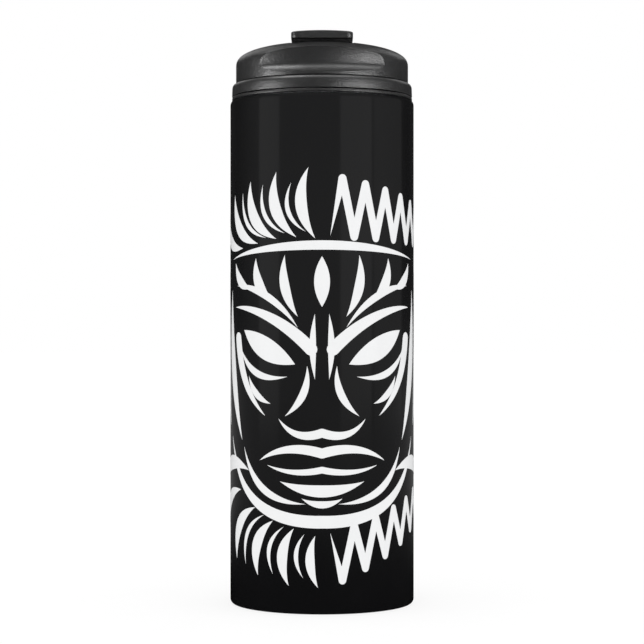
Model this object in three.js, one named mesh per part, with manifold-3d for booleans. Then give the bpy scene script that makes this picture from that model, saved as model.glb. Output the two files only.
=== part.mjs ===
// Slim insulated tumbler, about 16 fl oz: a double-walled steel vessel with a glossy printed
// wrap, and a black screw-in lid with a flip lever over its sip hole.
//
// Millimetres, +Z up. The origin is the centre of the underside. The front of the printed
// picture, the thumb scoop and the free end of the flip lever all face -Y.

import * as THREE from "three";
import { mergeVertices } from "three/addons/utils/BufferGeometryUtils.js";
import Module from "manifold-3d";

const wasm = await Module();
wasm.setup();

// ---------------------------------------------------------------- driving dimensions

const ROUND = 48; // sides on the large round pieces
const SMALL_ROUND = 20; // sides on holes, pins and stoppers

const BODY_RADIUS = 35; // outside of the printed wrap
const WRAP_THICKNESS = 0.25;
const WRAP_GAP = 0.05;
const SHELL_WALL = 0.5;
const SHOULDER_START = 189.3; // the straight side ends here
const BODY_TOP = 191.1;
const SHOULDER_INSET = 1;
const HEEL_RADIUS = 1.8; // rounding where the side meets the underside
const HEEL_HEIGHT = 1.95;

const LINER_RADIUS = 31; // inside of the cup and of its neck
const LINER_WALL = 0.45;
const LINER_FLOOR = 8.6; // top of the cup's floor
const FLOOR_FILLET = 1.1; // the wall's foot turns in by this much to meet the floor
const RIM_TOP = 190.8;
const RIM_LIP = 0.7;

const BASE_RIM_RADIUS = 31.7;
const BASE_RIM_WALL = 0.7;
const BASE_PLATE_LOW = 3.8;
const BASE_PLATE_HIGH = 4.6;
const PAD_RADIUS = 30.6;
const PAD_HEIGHT = 2.8;

const THREAD_LEAD = 12; // rise for one full turn of the lid
const THREAD_STARTS = 2;
const THREAD_RIDGE = 1.8; // height of a ridge
const LINER_CREST = 30;
const PLUG_RADIUS = 29.6;
const PLUG_CREST = 30.7;
const PLUG_BORE = 27.6;
const PLUG_BOTTOM = 174;
const PLUG_FLOOR = 2;
const PLUG_TOP = 196;

const FLANGE_RADIUS = 34.17;
const FLANGE_LOW = 191.4;
const FLANGE_HIGH = 192.5;
const COLLAR_LOW = 192.8;
const COLLAR_HIGH = 197.5;
const COLLAR_BORE = 31.9;

const CAP_FOOT_LOW = 197.75;
const CAP_FOOT_RADIUS = 33.75;
const CAP_WAIST = 32.4;
const CAP_RADIUS = 32.7;
const CAP_SHOULDER = 204.27; // the dome starts here
const CAP_RISE = 8.49;
const CAP_WALL = 2.2;
const SKIRT_RADIUS = 31.6;
const SKIRT_BORE = 29.8;
const SKIRT_LOW = 193;
const DOME_ROUNDNESS = [2.025, 2.63]; // superellipse powers along the radius and the height

const SCOOP_AXIS_Y = 18.66; // the scoop's upright axis, behind the lid's own
const SCOOP_NECK = 47.9; // from that axis to the scoop's deepest ring
const SCOOP_REACH = 4.76;
const SCOOP_MIDDLE = 204.2;
const SCOOP_UP = 8.3;
const SCOOP_DOWN = 5.6;
const SCOOP_BACKING = 2; // wall left behind the scoop

const CHANNEL_HALF = 11.9; // the lever lies in this channel
const CHANNEL_FRONT = -22.3;
const CHANNEL_BACK = 19.4;
const CHANNEL_FLOOR = 207;
const CHANNEL_WALL = 1.8;
const CHANNEL_CORNER = 2.4;

const LEVER_HALF = 11.42;
const LEVER_KEEL_HALF = 11;
const LEVER_FRONT = -24;
const LEVER_KEEL_FRONT = -21.6;
const LEVER_TOP = 215.2;
const LEVER_PLATE_LOW = 212.15;
const LEVER_KEEL_LOW = 208.4;
const LEVER_PLATE_BACK = 13;
const LEVER_CORNER = 2.4;
const LEVER_EDGE = 0.45;

const PIVOT = { y: 12.5, z: 209.6 };
const PIN_RADIUS = 1.2;
const PIN_HALF = 15;
const PIN_BORE = 1.4;
const PIN_BORE_HALF = 15.3;
const BARREL_RADIUS = 2.3;
const BOSS_HALF = 16.6;
const BOSS_RADIUS = 2.6;

const SIP_Y = -15.5;
const SIP_HOLE = 4.7;
const TUBE_BORE = 5.2;
const TUBE_WALL = 1.5;
const TUBE_TOP = 204.1;
const VENT_Y = -2;
const VENT_HOLE = 1.4;
const VENT_TUBE_WALL = 1.2;
const SEAL_THICKNESS = 0.6;
const FIT = 0.3; // gap left around pieces that are cut to each other

// ---------------------------------------------------------------- shapes

/** A body of revolution about Z from [radius, height] points, listed upwards on the outside. */
function turned(profile, sides = ROUND) {
  const points = profile.map(([radius, height]) => new THREE.Vector2(radius, height));
  const geometry = new THREE.LatheGeometry(points, sides);
  geometry.rotateX(Math.PI / 2);
  return geometry;
}

/** A ring whose profile closes on itself. */
function ring(profile, sides = ROUND) {
  return turned([...profile, profile[0]], sides);
}

/** Points on an elliptical arc, from one angle to another in degrees. */
function arc(centreR, centreZ, radiusR, radiusZ, fromDegrees, toDegrees, steps) {
  const points = [];
  for (let step = 0; step <= steps; step += 1) {
    const angle = THREE.MathUtils.degToRad(fromDegrees + ((toDegrees - fromDegrees) * step) / steps);
    points.push([centreR + radiusR * Math.cos(angle), centreZ + radiusZ * Math.sin(angle)]);
  }
  return points;
}

/** Points up the dome's superellipse, from its widest ring to its top. */
function domeArc(radius, shoulder, rise, steps) {
  const points = [];
  for (let step = 0; step <= steps; step += 1) {
    const angle = (Math.PI / 2) * (step / steps);
    const across = Math.cos(angle) ** (2 / DOME_ROUNDNESS[0]);
    const up = Math.sin(angle) ** (2 / DOME_ROUNDNESS[1]);
    points.push([step === steps ? 0 : radius * across, shoulder + rise * up]);
  }
  return points;
}

/** A flat plate with rounded corners, between two heights. */
function roundedSlab(halfX, lowY, highY, lowZ, highZ, corner, edge = 0) {
  const shape = new THREE.Shape();
  const side = halfX - edge;
  const near = lowY + edge;
  const far = highY - edge;
  shape.moveTo(-side + corner, near);
  shape.lineTo(side - corner, near);
  shape.absarc(side - corner, near + corner, corner, -Math.PI / 2, 0, false);
  shape.lineTo(side, far - corner);
  shape.absarc(side - corner, far - corner, corner, 0, Math.PI / 2, false);
  shape.lineTo(-side + corner, far);
  shape.absarc(-side + corner, far - corner, corner, Math.PI / 2, Math.PI, false);
  shape.lineTo(-side, near + corner);
  shape.absarc(-side + corner, near + corner, corner, Math.PI, Math.PI * 1.5, false);
  const geometry = new THREE.ExtrudeGeometry(shape, {
    depth: highZ - lowZ - 2 * edge,
    curveSegments: 5,
    bevelEnabled: edge > 0,
    bevelThickness: edge,
    bevelSize: edge,
    bevelSegments: 2,
  });
  geometry.translate(0, 0, lowZ + edge);
  return geometry;
}

/** A cylinder standing on Z, or lying along X. */
function rod(radius, from, to, at = [0, 0], alongX = false) {
  const geometry = new THREE.CylinderGeometry(radius, radius, to - from, SMALL_ROUND);
  geometry.translate(0, (from + to) / 2, 0);
  if (alongX) {
    geometry.rotateZ(-Math.PI / 2);
    geometry.translate(0, at[0], at[1]);
    return geometry;
  }
  geometry.rotateX(Math.PI / 2);
  geometry.translate(at[0], at[1], 0);
  return geometry;
}

/** The line of one thread ridge: it climbs as it turns anticlockwise seen from above. */
class Helix extends THREE.Curve {
  constructor(radius, startDegrees, startZ, turns) {
    super();
    Object.assign(this, { radius, startDegrees, startZ, turns });
  }

  angleAt(t) {
    return THREE.MathUtils.degToRad(this.startDegrees) + 2 * Math.PI * this.turns * t;
  }

  getPoint(t, target = new THREE.Vector3()) {
    const angle = this.angleAt(t);
    const height = this.startZ + THREAD_LEAD * this.turns * t;
    return target.set(this.radius * Math.cos(angle), this.radius * Math.sin(angle), height);
  }

  getPointAt(t, target) {
    return this.getPoint(t, target);
  }

  computeFrenetFrames(steps) {
    const frames = { tangents: [], normals: [], binormals: [] };
    for (let step = 0; step <= steps; step += 1) {
      const angle = this.angleAt(step / steps);
      frames.tangents.push(new THREE.Vector3(-Math.sin(angle), Math.cos(angle), 0));
      frames.normals.push(new THREE.Vector3(Math.cos(angle), Math.sin(angle), 0));
      frames.binormals.push(new THREE.Vector3(0, 0, -1));
    }
    return frames;
  }
}

/** One thread ridge: a trapezoid from its root radius to its crest, swept along the helix. */
function threadRidge(root, crest, startDegrees, startZ, turns) {
  const half = THREAD_RIDGE / 2;
  const tip = half * 0.5;
  const section = new THREE.Shape();
  section.moveTo(0, -half);
  section.lineTo(crest - root, -tip);
  section.lineTo(crest - root, tip);
  section.lineTo(0, half);
  section.closePath();
  return new THREE.ExtrudeGeometry(section, {
    steps: Math.round(turns * 32),
    extrudePath: new Helix(root, startDegrees, startZ, turns),
  });
}

// ---------------------------------------------------------------- joins and cuts

/** The closed solid of a geometry, turned right side out. */
function solid(geometry) {
  const bare = geometry.clone();
  bare.deleteAttribute("normal");
  bare.deleteAttribute("uv");
  const merged = mergeVertices(bare, 1e-4);
  const corners = merged.index.array;
  const kept = [];
  for (let at = 0; at < corners.length; at += 3) {
    const [a, b, c] = [corners[at], corners[at + 1], corners[at + 2]];
    if (a !== b && b !== c && c !== a) {
      kept.push(a, b, c);
    }
  }
  const build = (triVerts) =>
    new wasm.Manifold(
      new wasm.Mesh({
        numProp: 3,
        vertProperties: new Float32Array(merged.attributes.position.array),
        triVerts: new Uint32Array(triVerts),
      }),
    );
  const made = build(kept);
  return made.volume() > 0 ? made : build(kept.reverse());
}

/** A geometry from a finished solid. */
function shapeOf(made) {
  const mesh = made.getMesh();
  const geometry = new THREE.BufferGeometry();
  geometry.setAttribute("position", new THREE.BufferAttribute(mesh.vertProperties, 3));
  geometry.setIndex(new THREE.BufferAttribute(mesh.triVerts, 1));
  return geometry;
}

function joined(...geometries) {
  return geometries.map(solid).reduce((sum, next) => sum.add(next));
}

// ---------------------------------------------------------------- vessel

const heelCentre = BODY_RADIUS - HEEL_RADIUS;
const shellRadius = BODY_RADIUS - WRAP_THICKNESS - WRAP_GAP;

/** The printed skin: over the shoulder at the top, round the heel at the bottom. */
function printedWrap() {
  const inner = BODY_RADIUS - WRAP_THICKNESS;
  const insideHeel = HEEL_RADIUS - WRAP_THICKNESS;
  const shoulder = BODY_RADIUS - SHOULDER_INSET;
  return ring([
    ...arc(heelCentre, HEEL_HEIGHT, HEEL_RADIUS, HEEL_RADIUS, -60, 0, 2),
    ...arc(shoulder, SHOULDER_START, SHOULDER_INSET, BODY_TOP - SHOULDER_START, 0, 90, 3),
    ...arc(inner - 0.8, SHOULDER_START, 0.8, 1.55, 90, 0, 3),
    ...arc(heelCentre, HEEL_HEIGHT, insideHeel, insideHeel, 0, -60, 2),
  ]);
}

function outerShell() {
  const heel = HEEL_RADIUS - WRAP_THICKNESS - WRAP_GAP;
  const inner = shellRadius - SHELL_WALL;
  return ring([
    [32, HEEL_HEIGHT - heel],
    ...arc(heelCentre, HEEL_HEIGHT, heel, heel, -90, 0, 2),
    ...arc(shellRadius - 0.8, SHOULDER_START, 0.8, RIM_TOP - SHOULDER_START, 0, 90, 3),
    [33.2, RIM_TOP],
    [33.2, 189.6],
    [inner, 188.6],
    [inner, HEEL_HEIGHT + 0.4],
    [heelCentre, HEEL_HEIGHT - heel + SHELL_WALL],
    [32, HEEL_HEIGHT - heel + SHELL_WALL],
  ]);
}

/** The cup's wall: its foot turned in, its rim turned out to the shell, ridges in its neck. */
function innerLiner() {
  const outside = LINER_RADIUS + LINER_WALL;
  const foot = LINER_RADIUS - FLOOR_FILLET;
  const bend = LINER_FLOOR + FLOOR_FILLET;
  const outerBend = FLOOR_FILLET + LINER_WALL;
  const wall = ring([
    ...arc(foot, bend, outerBend, outerBend, -90, 0, 3),
    [outside, RIM_TOP - RIM_LIP - 0.5],
    [outside + 0.5, RIM_TOP - RIM_LIP],
    [33.1, RIM_TOP - RIM_LIP],
    [33.1, RIM_TOP],
    [LINER_RADIUS + 0.5, RIM_TOP],
    [LINER_RADIUS, RIM_TOP - 0.5],
    ...arc(foot, bend, FLOOR_FILLET, FLOOR_FILLET, 0, -90, 3),
  ]);
  const ridges = [];
  for (let start = 0; start < THREAD_STARTS; start += 1) {
    const turn = (360 / THREAD_STARTS) * start;
    ridges.push(threadRidge(LINER_RADIUS + 0.3, LINER_CREST, turn, 179.5, 0.5));
  }
  return shapeOf(joined(wall, ...ridges));
}

/** The flat disc welded inside the wall's turned-in foot. */
function linerFloor() {
  const radius = LINER_RADIUS - FLOOR_FILLET - 0.05;
  return turned([
    [0, LINER_FLOOR - LINER_WALL],
    [radius, LINER_FLOOR - LINER_WALL],
    [radius, LINER_FLOOR],
    [0, LINER_FLOOR],
  ]);
}

/** The dished plate that closes the vacuum space from below. */
function outerBase() {
  return turned([
    [0, BASE_PLATE_LOW],
    [BASE_RIM_RADIUS - BASE_RIM_WALL, BASE_PLATE_LOW],
    [BASE_RIM_RADIUS - BASE_RIM_WALL, 0.8],
    [BASE_RIM_RADIUS, 0.8],
    [BASE_RIM_RADIUS, BASE_PLATE_HIGH],
    [0, BASE_PLATE_HIGH],
  ]);
}

function basePad() {
  return turned([
    [0, 0],
    [PAD_RADIUS - 0.6, 0],
    [PAD_RADIUS, 0.6],
    [PAD_RADIUS, PAD_HEIGHT],
    [0, PAD_HEIGHT],
  ]);
}

function vacuumSealBead() {
  return turned(
    [
      [0, PAD_HEIGHT + 0.15],
      [1.6, PAD_HEIGHT + 0.25],
      [2.4, BASE_PLATE_LOW - 0.05],
      [0, BASE_PLATE_LOW - 0.05],
    ],
    SMALL_ROUND,
  );
}

function getter() {
  const low = BASE_PLATE_HIGH + 0.05;
  return rod(4, low, low + 1.8, [14, 0]);
}

/** Copper foil wound round the cup inside the vacuum space. */
function foilShield() {
  const inner = LINER_RADIUS + LINER_WALL + 0.15;
  return ring([
    [inner + 0.2, 22],
    [inner + 0.2, 182],
    [inner, 182],
    [inner, 22],
  ]);
}

// ---------------------------------------------------------------- lid

/** A silicone ring: its leg hugs the plug and its lip lies on the vessel's rim. */
function rimGasket() {
  const leg = PLUG_RADIUS + 0.2;
  return ring([
    [leg, 188.6],
    [leg + 0.5, 188.6],
    [LINER_RADIUS - FIT, 189.3],
    [LINER_RADIUS - FIT, RIM_TOP + 0.05],
    [32.8, RIM_TOP + 0.05],
    [32.8, FLANGE_LOW - 0.05],
    [leg, FLANGE_LOW - 0.05],
  ]);
}

/** The threaded barrel with its flange, and the floor that carries the two passages. */
function lidPlug() {
  const body = turned([
    [0, PLUG_BOTTOM],
    [PLUG_RADIUS - 1, PLUG_BOTTOM],
    [PLUG_RADIUS, PLUG_BOTTOM + 1],
    [PLUG_RADIUS, FLANGE_LOW],
    [FLANGE_RADIUS - 0.4, FLANGE_LOW],
    [FLANGE_RADIUS, FLANGE_LOW + 0.4],
    [FLANGE_RADIUS, FLANGE_HIGH],
    [SKIRT_BORE - FIT, FLANGE_HIGH],
    [SKIRT_BORE - FIT, PLUG_TOP],
    [PLUG_BORE, PLUG_TOP],
    [PLUG_BORE, PLUG_BOTTOM + PLUG_FLOOR],
    [0, PLUG_BOTTOM + PLUG_FLOOR],
  ]);
  const ridges = [];
  for (let start = 0; start < THREAD_STARTS; start += 1) {
    const turn = (360 / THREAD_STARTS) * start;
    ridges.push(threadRidge(PLUG_RADIUS - 0.6, PLUG_CREST, turn, 176.5, 0.5));
  }
  const low = PLUG_BOTTOM - 1;
  const high = PLUG_BOTTOM + PLUG_FLOOR + 1;
  const made = joined(body, ...ridges)
    .subtract(solid(rod(TUBE_BORE + TUBE_WALL + FIT, low, high, [0, SIP_Y])))
    .subtract(solid(rod(VENT_HOLE + VENT_TUBE_WALL + FIT, low, high, [0, VENT_Y])));
  return shapeOf(made);
}

/** A tube through the lid, with a small foot under the plug's floor. */
function passageTube(bore, wall, foot) {
  const outer = bore + wall;
  return ring(
    [
      [outer + foot, PLUG_BOTTOM - 1.2],
      [outer + foot, PLUG_BOTTOM - 0.05],
      [outer, PLUG_BOTTOM - 0.05],
      [outer, TUBE_TOP],
      [bore, TUBE_TOP],
      [bore, PLUG_BOTTOM - 1.2],
    ],
    SMALL_ROUND,
  );
}

/** The foam puck that fills the plug round the two tubes. */
function insulationPuck() {
  const low = PLUG_BOTTOM + PLUG_FLOOR + FIT;
  const high = 190;
  const puck = turned([
    [0, low],
    [PLUG_BORE - FIT, low],
    [PLUG_BORE - FIT, high],
    [0, high],
  ]);
  const made = solid(puck)
    .subtract(solid(rod(TUBE_BORE + TUBE_WALL + FIT, low - 1, high + 1, [0, SIP_Y])))
    .subtract(solid(rod(VENT_HOLE + VENT_TUBE_WALL + FIT, low - 1, high + 1, [0, VENT_Y])));
  return shapeOf(made);
}

/** The silicone plate that seals both tubes against the underside of the channel. */
function passageSeal() {
  const low = TUBE_TOP + 0.1;
  const high = low + SEAL_THICKNESS;
  const made = solid(roundedSlab(8.6, -23, 2.4, low, high, 2))
    .subtract(solid(rod(TUBE_BORE, low - 1, high + 1, [0, SIP_Y])))
    .subtract(solid(rod(VENT_HOLE, low - 1, high + 1, [0, VENT_Y])));
  return shapeOf(made);
}

function lidCollar() {
  return ring([
    [COLLAR_BORE, COLLAR_LOW],
    [FLANGE_RADIUS - 0.2, COLLAR_LOW],
    [FLANGE_RADIUS, COLLAR_LOW + 0.2],
    [FLANGE_RADIUS - 0.17, COLLAR_HIGH - 0.4],
    [FLANGE_RADIUS - 0.4, COLLAR_HIGH],
    [COLLAR_BORE, COLLAR_HIGH],
  ]);
}

/** The ring that cuts the thumb scoop: egg-shaped in section, grown by a margin. */
function scoopRing(margin) {
  const middle = SCOOP_NECK + SCOOP_REACH;
  const across = SCOOP_REACH + margin;
  const geometry = ring(
    [
      ...arc(middle, SCOOP_MIDDLE, across, SCOOP_DOWN + margin, 270, 180, 5),
      ...arc(middle, SCOOP_MIDDLE, across, SCOOP_UP + margin, 180, 90, 4).slice(1),
      [middle + 12, SCOOP_MIDDLE + SCOOP_UP + margin],
      [middle + 12, SCOOP_MIDDLE - SCOOP_DOWN - margin],
    ],
    72,
  );
  geometry.translate(0, SCOOP_AXIS_Y, 0);
  return geometry;
}

/** The domed cap with its skirt, the lever's channel, the scoop and the two holes. */
function lidCap() {
  const outside = solid(
    turned([
      [0, SKIRT_LOW],
      [SKIRT_RADIUS, SKIRT_LOW],
      [SKIRT_RADIUS, CAP_FOOT_LOW],
      [CAP_FOOT_RADIUS, CAP_FOOT_LOW],
      [CAP_FOOT_RADIUS - 0.25, CAP_FOOT_LOW + 0.45],
      [CAP_WAIST + 0.45, CAP_FOOT_LOW + 0.8],
      [CAP_WAIST, CAP_FOOT_LOW + 1.1],
      ...domeArc(CAP_RADIUS, CAP_SHOULDER, CAP_RISE, 9),
    ]),
  );
  const inside = solid(
    turned([
      [0, SKIRT_LOW - 1],
      [SKIRT_BORE, SKIRT_LOW - 1],
      [SKIRT_BORE, 198.6],
      ...domeArc(CAP_RADIUS - CAP_WALL, CAP_SHOULDER - 0.8, CAP_RISE - 1.4, 5),
    ]),
  ).subtract(solid(scoopRing(SCOOP_BACKING)));

  const trough = roundedSlab(
    CHANNEL_HALF + CHANNEL_WALL,
    CHANNEL_FRONT - CHANNEL_WALL,
    CHANNEL_BACK + CHANNEL_WALL,
    CHANNEL_FLOOR - CHANNEL_WALL,
    CAP_SHOULDER + CAP_RISE,
    CHANNEL_CORNER + CHANNEL_WALL,
  );
  const bosses = rod(BOSS_RADIUS, -BOSS_HALF, BOSS_HALF, [PIVOT.y, PIVOT.z], true);
  const channel = roundedSlab(
    CHANNEL_HALF,
    CHANNEL_FRONT,
    CHANNEL_BACK,
    CHANNEL_FLOOR,
    CAP_SHOULDER + CAP_RISE + 5,
    CHANNEL_CORNER,
  );
  const low = CHANNEL_FLOOR - CHANNEL_WALL - 1;
  const high = CHANNEL_FLOOR + 1;
  const made = outside
    .subtract(inside)
    .add(joined(trough, bosses).intersect(outside))
    .subtract(solid(channel))
    .subtract(solid(rod(PIN_BORE, -PIN_BORE_HALF, PIN_BORE_HALF, [PIVOT.y, PIVOT.z], true)))
    .subtract(solid(rod(SIP_HOLE, low, high, [0, SIP_Y])))
    .subtract(solid(rod(VENT_HOLE, low, high, [0, VENT_Y])))
    .subtract(solid(scoopRing(0)));
  return shapeOf(made);
}

// ---------------------------------------------------------------- flip lever

/** The lever's lower body, seen from the side: keel, barrel and the web between them. */
function leverKeel() {
  const side = new THREE.Shape();
  side.moveTo(LEVER_KEEL_FRONT, LEVER_KEEL_LOW);
  side.lineTo(PIVOT.y - 2, LEVER_KEEL_LOW);
  side.absarc(PIVOT.y, PIVOT.z, BARREL_RADIUS, Math.PI * 1.17, Math.PI * 2, false);
  side.lineTo(PIVOT.y + 1.6, PIVOT.z + 3);
  side.lineTo(PIVOT.y + 0.4, LEVER_PLATE_LOW + 1);
  side.lineTo(LEVER_KEEL_FRONT, LEVER_PLATE_LOW + 1);
  side.closePath();
  const geometry = new THREE.ExtrudeGeometry(side, {
    depth: 2 * LEVER_KEEL_HALF,
    curveSegments: 8,
    bevelEnabled: false,
  });
  const turn = new THREE.Matrix4().makeBasis(
    new THREE.Vector3(0, 1, 0),
    new THREE.Vector3(0, 0, 1),
    new THREE.Vector3(1, 0, 0),
  );
  geometry.applyMatrix4(turn);
  geometry.translate(-LEVER_KEEL_HALF, 0, 0);
  return geometry;
}

function flipTab() {
  const plate = roundedSlab(
    LEVER_HALF,
    LEVER_FRONT,
    LEVER_PLATE_BACK,
    LEVER_PLATE_LOW,
    LEVER_TOP,
    LEVER_CORNER,
    LEVER_EDGE,
  );
  const made = joined(plate, leverKeel())
    .subtract(solid(rod(PIN_BORE, -LEVER_HALF - 1, LEVER_HALF + 1, [PIVOT.y, PIVOT.z], true)))
    .subtract(solid(rod(1.9, LEVER_KEEL_LOW - 1, 210.9, [0, SIP_Y])))
    .subtract(solid(rod(1.3, LEVER_KEEL_LOW - 1, 210.5, [0, VENT_Y])));
  return shapeOf(made);
}

/** A silicone stopper: a nose in the hole, a flange on the floor, a stem up into the lever. */
function stopper(nose, noseTip, depth, flange, stem, stemTop, y) {
  const floor = CHANNEL_FLOOR + 0.08;
  const geometry = turned(
    [
      [0, CHANNEL_FLOOR - depth],
      [noseTip, CHANNEL_FLOOR - depth],
      [nose, floor - 0.2],
      [nose, floor],
      [flange, floor],
      [flange, LEVER_KEEL_LOW - FIT],
      [stem, LEVER_KEEL_LOW - FIT],
      [stem, stemTop],
      [0, stemTop],
    ],
    SMALL_ROUND,
  );
  geometry.translate(0, y, 0);
  return geometry;
}

// ---------------------------------------------------------------- assembly

const model = new THREE.Group();

function add(name, geometry, colour, roughness, metalness) {
  const material = new THREE.MeshStandardMaterial({ color: colour, roughness, metalness });
  const mesh = new THREE.Mesh(geometry, material);
  mesh.name = name;
  model.add(mesh);
  return mesh;
}

const STEEL = [0xb9bcc0, 0.35, 1];
const BLACK_PLASTIC = [0x1c1c1d, 0.5, 0];
const SILICONE = [0x202124, 0.7, 0];

add("printed_wrap", printedWrap(), 0x050506, 0.12, 0);
add("outer_shell", outerShell(), ...STEEL);
add("outer_base", outerBase(), ...STEEL);
add("inner_liner", innerLiner(), ...STEEL);
add("liner_floor", linerFloor(), ...STEEL);
add("foil_shield", foilShield(), 0xb06a3c, 0.3, 1);
add("getter", getter(), 0x77797d, 0.6, 0.8);
add("vacuum_seal_bead", vacuumSealBead(), 0x8b8e90, 0.3, 0);
add("base_pad", basePad(), 0x0e0e0f, 0.8, 0);

add("rim_gasket", rimGasket(), 0xd9dadb, 0.6, 0);
add("lid_plug", lidPlug(), ...BLACK_PLASTIC);
const sipTube = add("sip_tube", passageTube(TUBE_BORE, TUBE_WALL, 1), ...BLACK_PLASTIC);
sipTube.position.y = SIP_Y;
const ventTube = add("vent_tube", passageTube(VENT_HOLE, VENT_TUBE_WALL, 0.8), ...BLACK_PLASTIC);
ventTube.position.y = VENT_Y;
add("insulation_puck", insulationPuck(), 0xe8e8e6, 0.9, 0);
add("passage_seal", passageSeal(), ...SILICONE);
add("lid_collar", lidCollar(), ...BLACK_PLASTIC);
add("lid_cap", lidCap(), ...BLACK_PLASTIC);
const pin = rod(PIN_RADIUS, -PIN_HALF, PIN_HALF, [PIVOT.y, PIVOT.z], true);
add("hinge_pin", pin, ...STEEL);

add("flip_tab", flipTab(), ...BLACK_PLASTIC);
add("sip_stopper", stopper(4.2, 3.4, 1.6, 6.2, 1.6, 210.6, SIP_Y), ...SILICONE);
add("vent_stopper", stopper(0.8, 0.6, 0.7, 2.6, 1, 210.2, VENT_Y), ...SILICONE);

export default model;
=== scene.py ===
"""Looks of a slim insulated tumbler: gloss black printed wrap, black screw-in lid, flip lever.

Lengths in this file are millimetres on the CAD model's frame, with +Z up and the front facing
-Y, and every finished mesh is scaled to metres once, as it leaves its builder.
"""

import logging
import math
from dataclasses import dataclass, field
from enum import Enum
from typing import Iterable, Sequence

import bmesh
import bpy
from mathutils import Matrix, Vector
from mathutils.geometry import delaunay_2d_cdt


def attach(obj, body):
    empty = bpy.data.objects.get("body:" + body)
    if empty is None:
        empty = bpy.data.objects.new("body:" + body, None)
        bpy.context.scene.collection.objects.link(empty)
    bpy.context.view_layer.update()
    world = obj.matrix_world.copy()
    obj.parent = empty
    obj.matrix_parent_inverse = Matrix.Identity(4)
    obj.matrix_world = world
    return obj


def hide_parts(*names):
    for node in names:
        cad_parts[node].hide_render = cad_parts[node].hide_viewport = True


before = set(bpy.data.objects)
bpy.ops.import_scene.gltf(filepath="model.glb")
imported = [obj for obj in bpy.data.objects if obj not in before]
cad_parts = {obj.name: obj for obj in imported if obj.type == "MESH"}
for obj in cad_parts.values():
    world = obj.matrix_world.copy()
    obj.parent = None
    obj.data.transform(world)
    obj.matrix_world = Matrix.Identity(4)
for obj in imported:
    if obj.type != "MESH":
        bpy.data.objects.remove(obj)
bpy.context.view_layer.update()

LOG = logging.getLogger("tumbler")
MM = 0.001
INSIDE_ONLY = 1  # delaunay_2d_cdt's output kind that keeps only what lies inside the polygons

Profile = list[tuple[float, float]]
Point3 = tuple[float, float, float]


class Body(Enum):
    """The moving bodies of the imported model."""

    VESSEL = "vessel"
    GASKET = "gasket"
    LID = "lid"
    LEVER = "lever"


class Slot(Enum):
    """The record's material slots that finished pieces use."""

    PRINT = "printed_gloss"
    STEEL = "steel"
    RUBBER = "foot_rubber"
    CLEAR = "clear_silicone"
    PLASTIC = "lid_plastic"
    SILICONE = "black_silicone"


class Join(Enum):
    """How one closed shape is combined with another."""

    ADD = "UNION"
    CUT = "DIFFERENCE"
    KEEP = "INTERSECT"


# ------------------------------------------------------------------------------ shape tools


def arc(centre: tuple[float, float], radii: tuple[float, float], start: float, end: float,
        steps: int) -> Profile:
    """Points along an elliptical arc of a profile.

    Args:
        centre: The arc's centre, as radius and height.
        radii: Its radii across and up.
        start: Angle of the first point, in degrees.
        end: Angle of the last point, in degrees.
        steps: Number of straight steps along the arc.

    Returns:
        The arc's points, as radius and height.
    """
    points = []
    for step in range(steps + 1):
        angle = math.radians(start + (end - start) * step / steps)
        points.append((centre[0] + radii[0] * math.cos(angle), centre[1] + radii[1] * math.sin(angle)))
    return points


def turned(profile: Profile, closed: bool = False, sides: int = 160) -> bmesh.types.BMesh:
    """Spins a profile a full turn round the Z axis.

    Args:
        profile: Points as radius and height.
        closed: Whether the profile's last point joins its first, as on a ring.
        sides: Number of steps in the full turn.

    Returns:
        The closed solid.
    """
    shape = bmesh.new()
    verts = [shape.verts.new((radius, 0.0, height)) for radius, height in profile]
    edges = [shape.edges.new(pair) for pair in zip(verts, verts[1:])]
    if closed:
        edges.append(shape.edges.new((verts[-1], verts[0])))
    bmesh.ops.spin(shape, geom=verts + edges, cent=(0, 0, 0), axis=(0, 0, 1),
                   angle=2 * math.pi, steps=sides, use_merge=True)
    bmesh.ops.remove_doubles(shape, verts=shape.verts, dist=1e-4)
    bmesh.ops.recalc_face_normals(shape, faces=shape.faces)
    return shape


def soften(shape: bmesh.types.BMesh, width: float, segments: int = 3, angle: float = 35.0) -> None:
    """Rounds every edge that is sharper than an angle.

    Args:
        shape: The shape, which is changed.
        width: Width of the rounding.
        segments: Number of faces across it.
        angle: The least angle between faces, in degrees, that is rounded.
    """
    limit = math.radians(angle)
    sharp = [edge for edge in shape.edges if len(edge.link_faces) == 2 and edge.calc_face_angle() > limit]
    bmesh.ops.bevel(shape, geom=sharp, offset=width, offset_type="OFFSET", segments=segments,
                    profile=0.5, affect="EDGES", material=-1, clamp_overlap=True)
    bmesh.ops.recalc_face_normals(shape, faces=shape.faces)


def rod(radius: float, low: float, high: float, at: tuple[float, float] = (0.0, 0.0),
        along_x: bool = False, sides: int = 48) -> bmesh.types.BMesh:
    """A round bar that stands on Z or lies along X.

    Args:
        radius: Its radius.
        low: Where it starts along its axis.
        high: Where it ends along its axis.
        at: Its axis's place: x and y if it stands, y and z if it lies.
        along_x: Whether it lies along X.
        sides: Number of its sides.

    Returns:
        The closed bar.
    """
    shape = bmesh.new()
    bmesh.ops.create_cone(shape, cap_ends=True, segments=sides, radius1=radius, radius2=radius,
                          depth=high - low)
    bmesh.ops.translate(shape, verts=shape.verts, vec=(0, 0, (low + high) / 2))
    if along_x:
        turn = Matrix.Rotation(math.radians(90), 3, "Y")
        bmesh.ops.rotate(shape, verts=shape.verts, cent=(0, 0, 0), matrix=turn)
        bmesh.ops.translate(shape, verts=shape.verts, vec=(0, at[0], at[1]))
    else:
        bmesh.ops.translate(shape, verts=shape.verts, vec=(at[0], at[1], 0))
    return shape


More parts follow.
